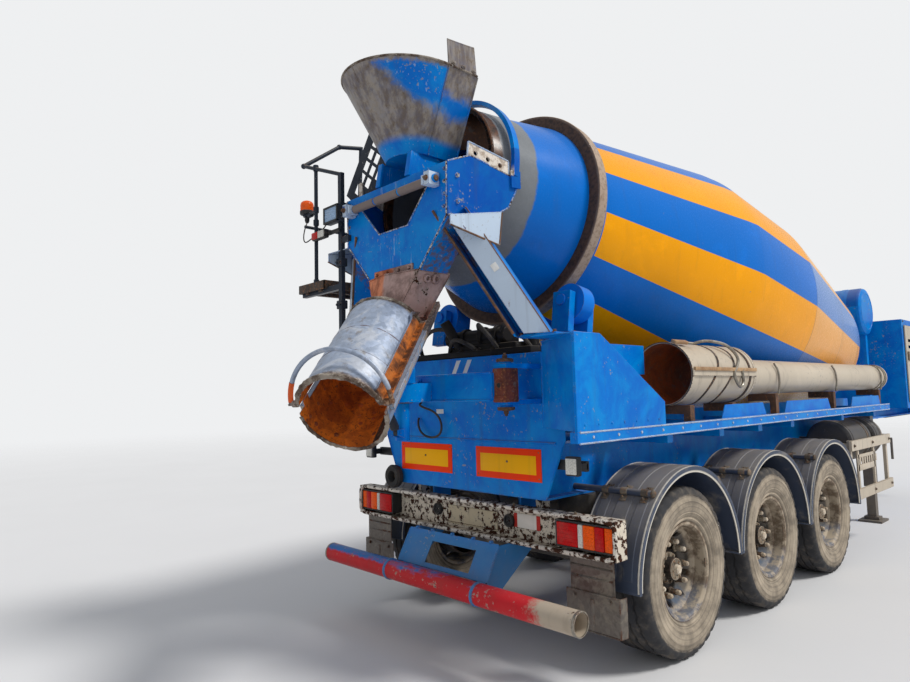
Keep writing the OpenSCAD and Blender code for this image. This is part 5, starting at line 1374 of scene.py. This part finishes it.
def make_vee():
    """Skirts, worn edges, bolts, pipe clamps, leg faces and cross pipe of the V frame."""
    skirt, edges, rust, pale, sleeve = (Maker() for _ in range(5))
    for side in BOTH:
        # skirt that hangs under each side plate from a narrow shelf
        corners = [Vector((x, side * y, z)) for x, y, z in ((-1.438, 0.640, 2.660), (-1.078, 0.705, 2.722),
                                                            (-1.110, 0.705, 2.520), (-1.438, 0.640, 2.606))]
        shelf = [flare_point(side, 0.004, 2.698, 0.002), flare_point(side, 0.385, 2.766, 0.002), corners[1],
                 corners[0]]
        skirt.prism(shelf, (0, 0, 0.006))
        inward = (corners[1] - corners[0]).cross(corners[3] - corners[0]).normalized() * 0.007
        skirt.prism(corners, -inward if inward.y * side > 0 else inward)
        rust.tube([corners[3], corners[2]], 0.006)
        rust.tube([corners[1], corners[2]], 0.005)
        # worn edges and bolts of the side plate, and edges of its strip with the holes
        edge = [(-0.006, 2.704), (0.33, 2.742), (0.43, 2.802), (0.528, 2.985), (0.155, 3.088),
                (-0.004, 3.028)]
        for a, b in zip(edge, edge[1:]):
            edges.tube([flare_point(side, *a), flare_point(side, *b)], 0.0055)
        strip = [(0.150, 3.176), (0.445, 3.102), (0.445, 3.0)]
        for a, b in [*zip(strip, strip[1:]), (strip[0], (0.140, 3.08))]:
            pale.tube([flare_point(side, *a, 0.0), flare_point(side, *b, 0.0)], 0.006)
        for z in (2.79, 2.95):
            edges.bolt(flare_point(side, 0.06, z, 0.010), (-0.2, side, 0), 0.02)
        # bolts down the V plate's side, its fold, and the inner edge of its opening
        for k in range(4):
            edges.bolt((VEE_X, side * (0.505 - 0.004 * k), 2.985 - 0.075 * k), BACK, 0.016)
        edges.tube([(VEE_X, side * y, z) for y, z in ((0.522, 3.025), (0.514, 2.702), (0.258, 2.423))],
                   0.0055)
        edges.tube([(VEE_X, side * y, z) for y, z in ((0.372, 2.952), (0.151, 2.718))], 0.0045)
        # leg: closed outer face, rusty edges and foot bolts
        face = ((-0.049, 1.985), (0.076, 1.985), (0.076, 2.640), (-0.049, 2.640))
        thick = leg_point(side, 0, -0.086, 2.3) - leg_point(side, 0, -0.0905, 2.3)
        pale.prism([leg_point(side, x, -0.0905, z) for x, z in face], thick)
        rust.tube([leg_point(side, 0.126, -0.088, z) for z in (1.985, 2.36, 2.75)], 0.0085, smooth=2)
        rust.tube([leg_point(side, -0.0505, -0.088, z) for z in (1.985, 2.75)], 0.004)
        for x, y in ((-1.06, 0.81), (-1.06, 1.05), (-0.885, 0.81), (-0.885, 1.05)):
            rust.bolt((x, side * y, 1.982), UP, 0.022)
        # clamp and end plug of the cross pipe
        y = side * 0.435
        pale.box((-1.437, y - 0.024, 2.888), (VEE_X, y + 0.024, 2.972), 0.004)
        pale.box((-1.430, side * 0.39 - 0.012, 2.900), (-1.358, side * 0.39 + 0.012, 2.960), 0.004)
        rust.bolt((-1.437, y, PIPE_Z), BACK, 0.024, 0.006)
        plug = [(-0.002, 0.001), (-0.002, 0.019), (0.005, 0.019), (0.008, 0.015), (0.008, 0.001)]
        rust.lathe((PIPE_X, side * 0.47, PIPE_Z), (0, side, 0), plug, 20)
    for half, z in ((0.151, 2.718), (0.372, 2.952)):
        edges.tube([(VEE_X, -half, z), (VEE_X, half, z)], 0.0045)
    for y0, y1 in ((-0.375, -0.13), (-0.12, 0.125), (0.135, 0.375)):
        long = y1 - y0
        profile = [(0, 0.0245), (0.003, 0.0272), (long - 0.003, 0.0272), (long, 0.0245)]
        sleeve.lathe((PIPE_X, y0, PIPE_Z), LEFT, profile, 24)
    skirt.piece("side_plate_skirts", "blue_paint", "pale_blue")
    edges.piece("vee_edges", "blue_paint", "worn_edge")
    rust.piece("vee_rust_edges", "rusty_steel")
    pale.piece("vee_pale_parts", "cream_paint", "pale_blue")
    sleeve.piece("cross_pipe_sleeves", "steel", "brown_pipe")


# Free cords: name, diameter, stiffness, and the points they pass, from the rearmost axle
CORDS = (
    ("beam_hose", 0.016, "medium", (
        (-0.783, 0.43, 1.60), (-0.800, 0.43, 1.585), (-0.812, 0.40, 1.574), (-0.815, 0.35, 1.56),
        (-0.815, 0.29, 1.545), (-0.814, 0.235, 1.52), (-0.813, 0.195, 1.48), (-0.812, 0.180, 1.43),
        (-0.812, 0.195, 1.385), (-0.812, 0.24, 1.358), (-0.812, 0.30, 1.352), (-0.812, 0.36, 1.362),
        (-0.811, 0.41, 1.39), (-0.806, 0.44, 1.43), (-0.795, 0.455, 1.47), (-0.783, 0.46, 1.485))),
    ("beacon_lead", 0.009, "limp", (
        (-1.35, 1.065, 3.036), (-1.352, 1.07, 3.005), (-1.362, 1.085, 2.96), (-1.372, 1.09, 2.91),
        (-1.380, 1.08, 2.865), (-1.388, 1.05, 2.835), (-1.395, 1.01, 2.825), (-1.402, 0.96, 2.827),
        (-1.408, 0.91, 2.832), (-1.413, 0.86, 2.838), (-1.416, 0.81, 2.846), (-1.418, 0.76, 2.858),
        (-1.420, 0.71, 2.878), (-1.422, 0.675, 2.90), (-1.424, 0.652, 2.915))),
)


def make_cords():
    """The loose hose under the beam and the lead between the beacon and the work lamp."""
    for name, diameter, stiffness, points in CORDS:
        route = [at(*p) for p in points]
        cord = Maker(NO_MOVE)
        cord.tube(route, diameter / 2, 12, 4)
        piece = cord.piece(name, "bellows", "old_rubber")


BEACON = (-1.35, 1.08, 3.0)
# Lower edge and height of the small lamps' lenses
SMALL_LAMP_Z, SMALL_LAMP_HIGH = 2.806, 0.050


def make_lamps():
    """Beacon, work lamp, and the small lamps below it."""
    dome, dark, glass = Maker(), Maker(), Maker()
    ribs = [(0.090 + 0.009 * k, 0.0515 - 0.0014 * (k % 2)) for k in range(6)]
    profile = [(0.082, 0.001), (0.082, 0.050), *ribs, (0.149, 0.047), (0.160, 0.036), (0.1675, 0.018),
               (0.169, 0.001)]
    dome.lathe(BEACON, UP, profile, 40)
    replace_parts(dome.piece("beacon_dome", "amber_lens"), "beacon")
    base = [(0.058, 0.001), (0.058, 0.050), (0.064, 0.0545), (0.083, 0.0545), (0.088, 0.050), (0.088, 0.001)]
    dark.lathe(BEACON, UP, base, 36)
    dark.lathe(BEACON, DOWN,
               [(-0.042, 0.001), (-0.042, 0.018), (-0.010, 0.018), (0.005, 0.012), (0.005, 0.001)], 20)
    # work lamp: frame round its glass, cooling ribs, bracket and its bolt
    for y0, y1, z0, z1 in ((0.473, 0.652, 2.868, 2.882), (0.473, 0.652, 2.973, 2.987),
                           (0.473, 0.487, 2.868, 2.987), (0.638, 0.652, 2.868, 2.987)):
        dark.box((-1.472, y0, z0), (-1.455, y1, z1), 0.003)
    for y in (0.49 + 0.022 * k for k in range(7)):
        dark.box((-1.412, y, 2.885), (-1.396, y + 0.006, 2.970), 0.001)
    dark.bolt((-1.39, 0.575, 2.928), (0, -1, 0), 0.02)
    dark.box((-1.43, 0.700, 2.80), (-1.392, 0.875, 2.862), 0.006)
    dark.box((-1.400, 0.56, 2.815), (-1.386, 0.72, 2.845), 0.003)
    dark.piece("lamp_frames", "dark_paint", "black_plastic")
    glass.box((-1.466, 0.486, 2.881), (-1.46, 0.639, 2.974), 0.002)
    for z in (2.890 + 0.018 * k for k in range(5)):
        glass.box((-1.4675, 0.49, z), (-1.4655, 0.635, z + 0.003), 0.0008)
    glass.piece("work_lamp_glass", "red_lens", "pale_glass")
    for word, finish, y in (("red", "red_lens", 0.79), ("white", "clear_lens", 0.706)):
        small = Maker()
        small.box((-1.438, y, SMALL_LAMP_Z), (-1.428, y + 0.08, SMALL_LAMP_Z + SMALL_LAMP_HIGH), 0.004)
        small.piece("outline_lamp_" + word, "red_lens", finish)


PLATFORM = (-1.40, -0.90, 0.76, 1.11)
RAIL_POST_X = -1.384


def make_platform():
    """Rim, grating, brackets, clamps and rail joints of the service platform."""
    m, joints = Maker(), Maker()
    x0, x1, y0, y1 = PLATFORM
    edge, inset = 0.004, 0.006
    for ax, ay, bx, by in ((x0 - edge, y0 - edge, x1 + edge, y0 + inset),
                           (x0 - edge, y1 - inset, x1 + edge, y1 + edge),
                           (x0 - edge, y0 - edge, x0 + inset, y1 + edge),
                           (x1 - inset, y0 - edge, x1 + edge, y1 + edge)):
        m.box((ax, ay, 2.438), (bx, by, 2.502), 0.002)
    for x in (x0 + 0.03 + 0.0315 * k for k in range(15)):
        m.box((x - 0.002, y0 + 0.004, 2.488), (x + 0.002, y1 - 0.004, 2.4975), 0.0006)
    for y in (y0 + 0.05 + 0.05 * k for k in range(6)):
        m.box((x0 + 0.004, y - 0.003, 2.487), (x1 - 0.004, y + 0.003, 2.494), 0.0006)
    for y in (0.84, 1.02):
        m.box((x0 + 0.01, y - 0.02, 2.425), (x1 - 0.01, y + 0.02, 2.452), 0.003)
    m.piece("platform_rim", "dark_paint", "brown_steel")
    sleeve = [(-0.022, 0.013), (-0.022, 0.0195), (-0.017, 0.021), (0.017, 0.021), (0.022, 0.0195),
              (0.022, 0.013)]
    for z in (3.366, 2.50, 3.048, 2.95):
        joints.lathe((RAIL_POST_X, 0.89, z), UP, sleeve, 20)
    joints.lathe((-0.918, 1.04, 2.51), UP, sleeve, 20)
    joints.lathe((-1.35, 1.03, 3.048), LEFT, sleeve, 20)
    for z in (2.30, 2.60, 3.0):
        joints.box((-1.392, 0.548, z - 0.03), (-1.338, 0.612, z + 0.03), 0.005)
        for y in (0.565, 0.595):
            joints.bolt((-1.392, y, z), BACK, 0.018)
    # treads of the two steps
    for z in (2.13, 2.30):
        for x in (-0.925, -0.635):
            joints.bolt((x, 1.04, z), LEFT, 0.02)
        for x in (-0.90 + 0.038 * k for k in range(7)):
            joints.box((x, 1.003, z + 0.006), (x + 0.012, 1.037, z + 0.013), 0.001)
    joints.piece("platform_joints", "dark_paint")


TANK_Y, TANK_Z = 0.95, 1.085
GUARD_PLATE_Y = 1.186


def make_side():
    """Rail beads and rivets, the side guards' slotted plates and bolts, and the tanks' straps."""
    rails, straps, bolts, plates = Maker(), Maker(), Maker(), Maker()
    slots = [(3.48 + 0.075 * k, 3.52 + 0.075 * k, 0.86, 0.93) for k in range(9)]
    for side in BOTH:
        for z in (1.378, 1.436):
            rails.tube([(x, side * 1.1985, z) for x in (-1.07, 1.8, 4.69)], 0.0055)
        for k in range(24):
            rivet = [(0, 0.0005), (0, 0.010), (0.004, 0.008), (0.006, 0.0005)]
            rails.lathe((-0.95 + 0.24 * k, side * 1.1995, 1.408), (0, side, 0), rivet, 10)
        # slotted plate between the guard's bars, on two uprights
        y = side * GUARD_PLATE_Y
        for x0, x1, z0, z1 in [(3.48, 4.08, 0.80, 0.862), (3.48, 4.08, 0.928, 0.962)] + slots:
            plates.box((x0, y - side * 0.006, z0), (x1, y, z1), 0.001)
        for x in (3.52, 4.04):
            plates.box((x - 0.02, y - side * 0.02, 0.62), (x + 0.02, y, 1.02), 0.003)
        for x in (3.36, 3.95, 4.55):
            for z in (0.58, 1.06):
                bolts.bolt((x, side * 1.2, z), (0, side, 0), 0.022)
        # straps and drain plug of the round tanks
        for x in (3.50, 3.95, 4.42):
            straps.band((x, side * TANK_Y, TANK_Z), AHEAD, 0.02, 0.2155, 0.2195, 48)
        bolts.bolt((3.72, side * TANK_Y, 0.868), DOWN, 0.03)
    rails.piece("side_rail_beads", "blue_paint", "pale_blue")
    plates.piece("side_guard_plates", "white_paint", "cream_paint")
    straps.piece("tank_straps", "dark_paint", "dusty_steel")
    bolts.piece("guard_bolts", "dark_paint", "dusty_steel")


SPARE_Y, SPARE_Z = -0.97, 1.76
TUBE_Y, TUBE_Z = -1.0, 1.74


def make_spares():
    """Bands, lining, bar and handles of the spare chute, and flanges and hooks of the tube."""
    bands, bar, bows, lining = (Maker() for _ in range(4))
    for x, wide in ((0.206, 0.014), (1.192, 0.016), (1.10, 0.030)):
        bands.band((x, SPARE_Y, SPARE_Z), AHEAD, wide / 2, 0.214, 0.220, 56)
    # two straps that wind round it
    for x in (0.55, 0.80):
        strap = ((-0.016, 0.2155), (-0.012, 0.2185), (0.012, 0.2185), (0.016, 0.2155))
        bands.rings([[(x + 0.09 * sin(2 * a) + dx, SPARE_Y - r * sin(a), SPARE_Z + r * cos(a))
                      for dx, r in strap] for a in angles(-30, 180, 24)])
    bands.piece("spare_chute_bands", "cream_paint", "dark_liner")
    bar.box((0.22, -1.205, 1.775), (1.18, -1.188, 1.800), 0.003)
    bar.box((0.16, -1.10, 1.962), (0.34, -1.065, 1.985), 0.004, Matrix.Rotation(radians(25), 3, "X"))
    bar.piece("spare_chute_bar", "rusty_steel", "tan_steel")
    bows.tube([(0.62, -0.99, 1.982), (0.70, -1.05, 2.00), (0.80, -1.13, 1.975), (0.86, -1.175, 1.92),
               (0.88, -1.196, 1.86), (0.84, -1.199, 1.80), (0.80, -1.199, 1.76), (0.83, -1.199, 1.70),
               (0.90, -1.196, 1.66), (0.95, -1.196, 1.70), (0.93, -1.199, 1.78)], 0.011, 10, 5)
    bows.tube([(0.62, -0.99, 1.982), (0.56, -0.92, 1.985), (0.60, -0.83, 1.93)], 0.011, 10, 5)
    for x in (1.24, 4.70, 4.82, 4.885):
        bows.band((x, TUBE_Y, TUBE_Z), AHEAD, 0.012, 0.139, 0.1475, 44)
    # hooks that hold the tube to its racks
    for x in (1.73, 3.13, 4.63):
        hook = ((-1.145, 1.60), (-1.155, 1.70), (-1.147, 1.79), (-1.12, 1.85))
        bows.tube([(x, y, z) for y, z in hook], 0.009, smooth=4)
    bows.piece("spare_chute_bows", "rusty_steel", "bare_steel")
    lining.lathe((0.21, SPARE_Y, SPARE_Z), AHEAD,
                 [(0, 0.2068), (0, 0.2092), (0.97, 0.2092), (0.97, 0.2068)], 48)
    lining.piece("spare_chute_lining", "cream_paint", "orange_inside")


WATER_X, WATER_Z, WATER_R = 6.12, 2.64, 0.32


def make_front():
    """Straps, filler and end seams of the water tank, and bolts and handles of the engine cabinet."""
    m, dark = Maker(), Maker()
    filler = [(0, 0.001), (0, 0.075), (0.035, 0.075), (0.04, 0.085), (0.055, 0.085), (0.062, 0.07),
              (0.064, 0.001)]
    m.lathe((WATER_X, 0.0, WATER_Z + WATER_R - 0.01), UP, filler, 30)
    for side in BOTH:
        m.band((WATER_X, side * 0.45, WATER_Z), LEFT, 0.03, WATER_R - 0.001, WATER_R + 0.004, 56)
        seam = [(0, 0.235), (0, 0.255), (0.006, 0.25), (0.006, 0.24)]
        m.lathe((WATER_X, side * 0.677, WATER_Z), (0, side, 0), seam, 48)
        for x in (6.66, 7.25, 7.84):
            dark.bolt((x, side * 0.952, 2.515), (0, side, 0), 0.018)
        dark.box((6.72, side * 0.969, 1.98), (6.80, side * 0.985, 2.10), 0.004)
    m.piece("water_tank_trim", "blue_paint")
    dark.piece("cabinet_bolts", "dark_paint", "dusty_steel")


MOTOR_X, MOTOR_Z = -0.66, 2.05


def make_drive():
    """Valve block, motor and hoses between the drum and the rear body."""
    block, hoses = Maker(), Maker()
    block.box((-0.72, -0.46, 1.86), (-0.46, 0.16, 1.99), 0.012)
    block.box((-0.70, -0.30, 1.98), (-0.50, 0.0, 2.09), 0.010)
    block.box((-0.76, -0.62, 1.905), (-0.66, 0.62, 1.95), 0.008)
    block.rod((MOTOR_X, -0.34, MOTOR_Z), (MOTOR_X, 0.24, MOTOR_Z), 0.052, 24)
    block.rod((-0.62, 0.06, 1.85), (-0.78, 0.16, 2.17), 0.038, 20)
    block.rod((-0.60, -0.50, 1.88), (-0.60, -0.50, 2.08), 0.045, 20)
    for y in (-0.26, -0.12, 0.05):
        block.band((MOTOR_X, y, MOTOR_Z), LEFT, 0.014, 0.048, 0.066, 24)
        block.bolt((-0.72, y, 1.95), BACK, 0.03, 0.01)
    block.piece("valve_block", "cast", "oily")
    runs = (
        ((-0.72, -0.30, 1.95), (-0.79, -0.30, 2.02), (-0.80, -0.22, 2.10), (-0.74, -0.14, 2.12),
         (-0.68, -0.10, 2.06)),
        ((-0.72, -0.10, 1.95), (-0.78, -0.08, 1.99), (-0.79, 0.02, 2.03), (-0.75, 0.12, 2.02),
         (-0.70, 0.20, 1.94)),
        ((-0.70, 0.50, 1.94), (-0.77, 0.44, 2.02), (-0.78, 0.32, 2.11), (-0.74, 0.20, 2.12),
         (-0.68, 0.12, 2.06)),
        ((-0.68, -0.56, 1.94), (-0.74, -0.52, 2.03), (-0.76, -0.42, 2.10), (-0.72, -0.34, 2.08),
         (-0.67, -0.30, 2.05)))
    for run in runs:
        hoses.tube(run, 0.015, 10, 5)
    hoses.piece("drive_hoses", "bellows", "old_rubber")


bpy.context.scene.view_settings.view_transform = "Standard"
make_camera()
make_stage()
MATERIALS = make_materials()
dress_nodes()
for make in (make_cords, make_wheels, make_mudguards, make_lamp_bar, make_boards, make_rear_face,
             make_underrun, make_beam, make_chute_crust, make_chute_trim, make_funnel, make_hopper, make_vee,
             make_leg_sticker, make_lamps, make_platform, make_side, make_spares, make_front, make_drive):
    make()

bpy.context.view_layer.update()
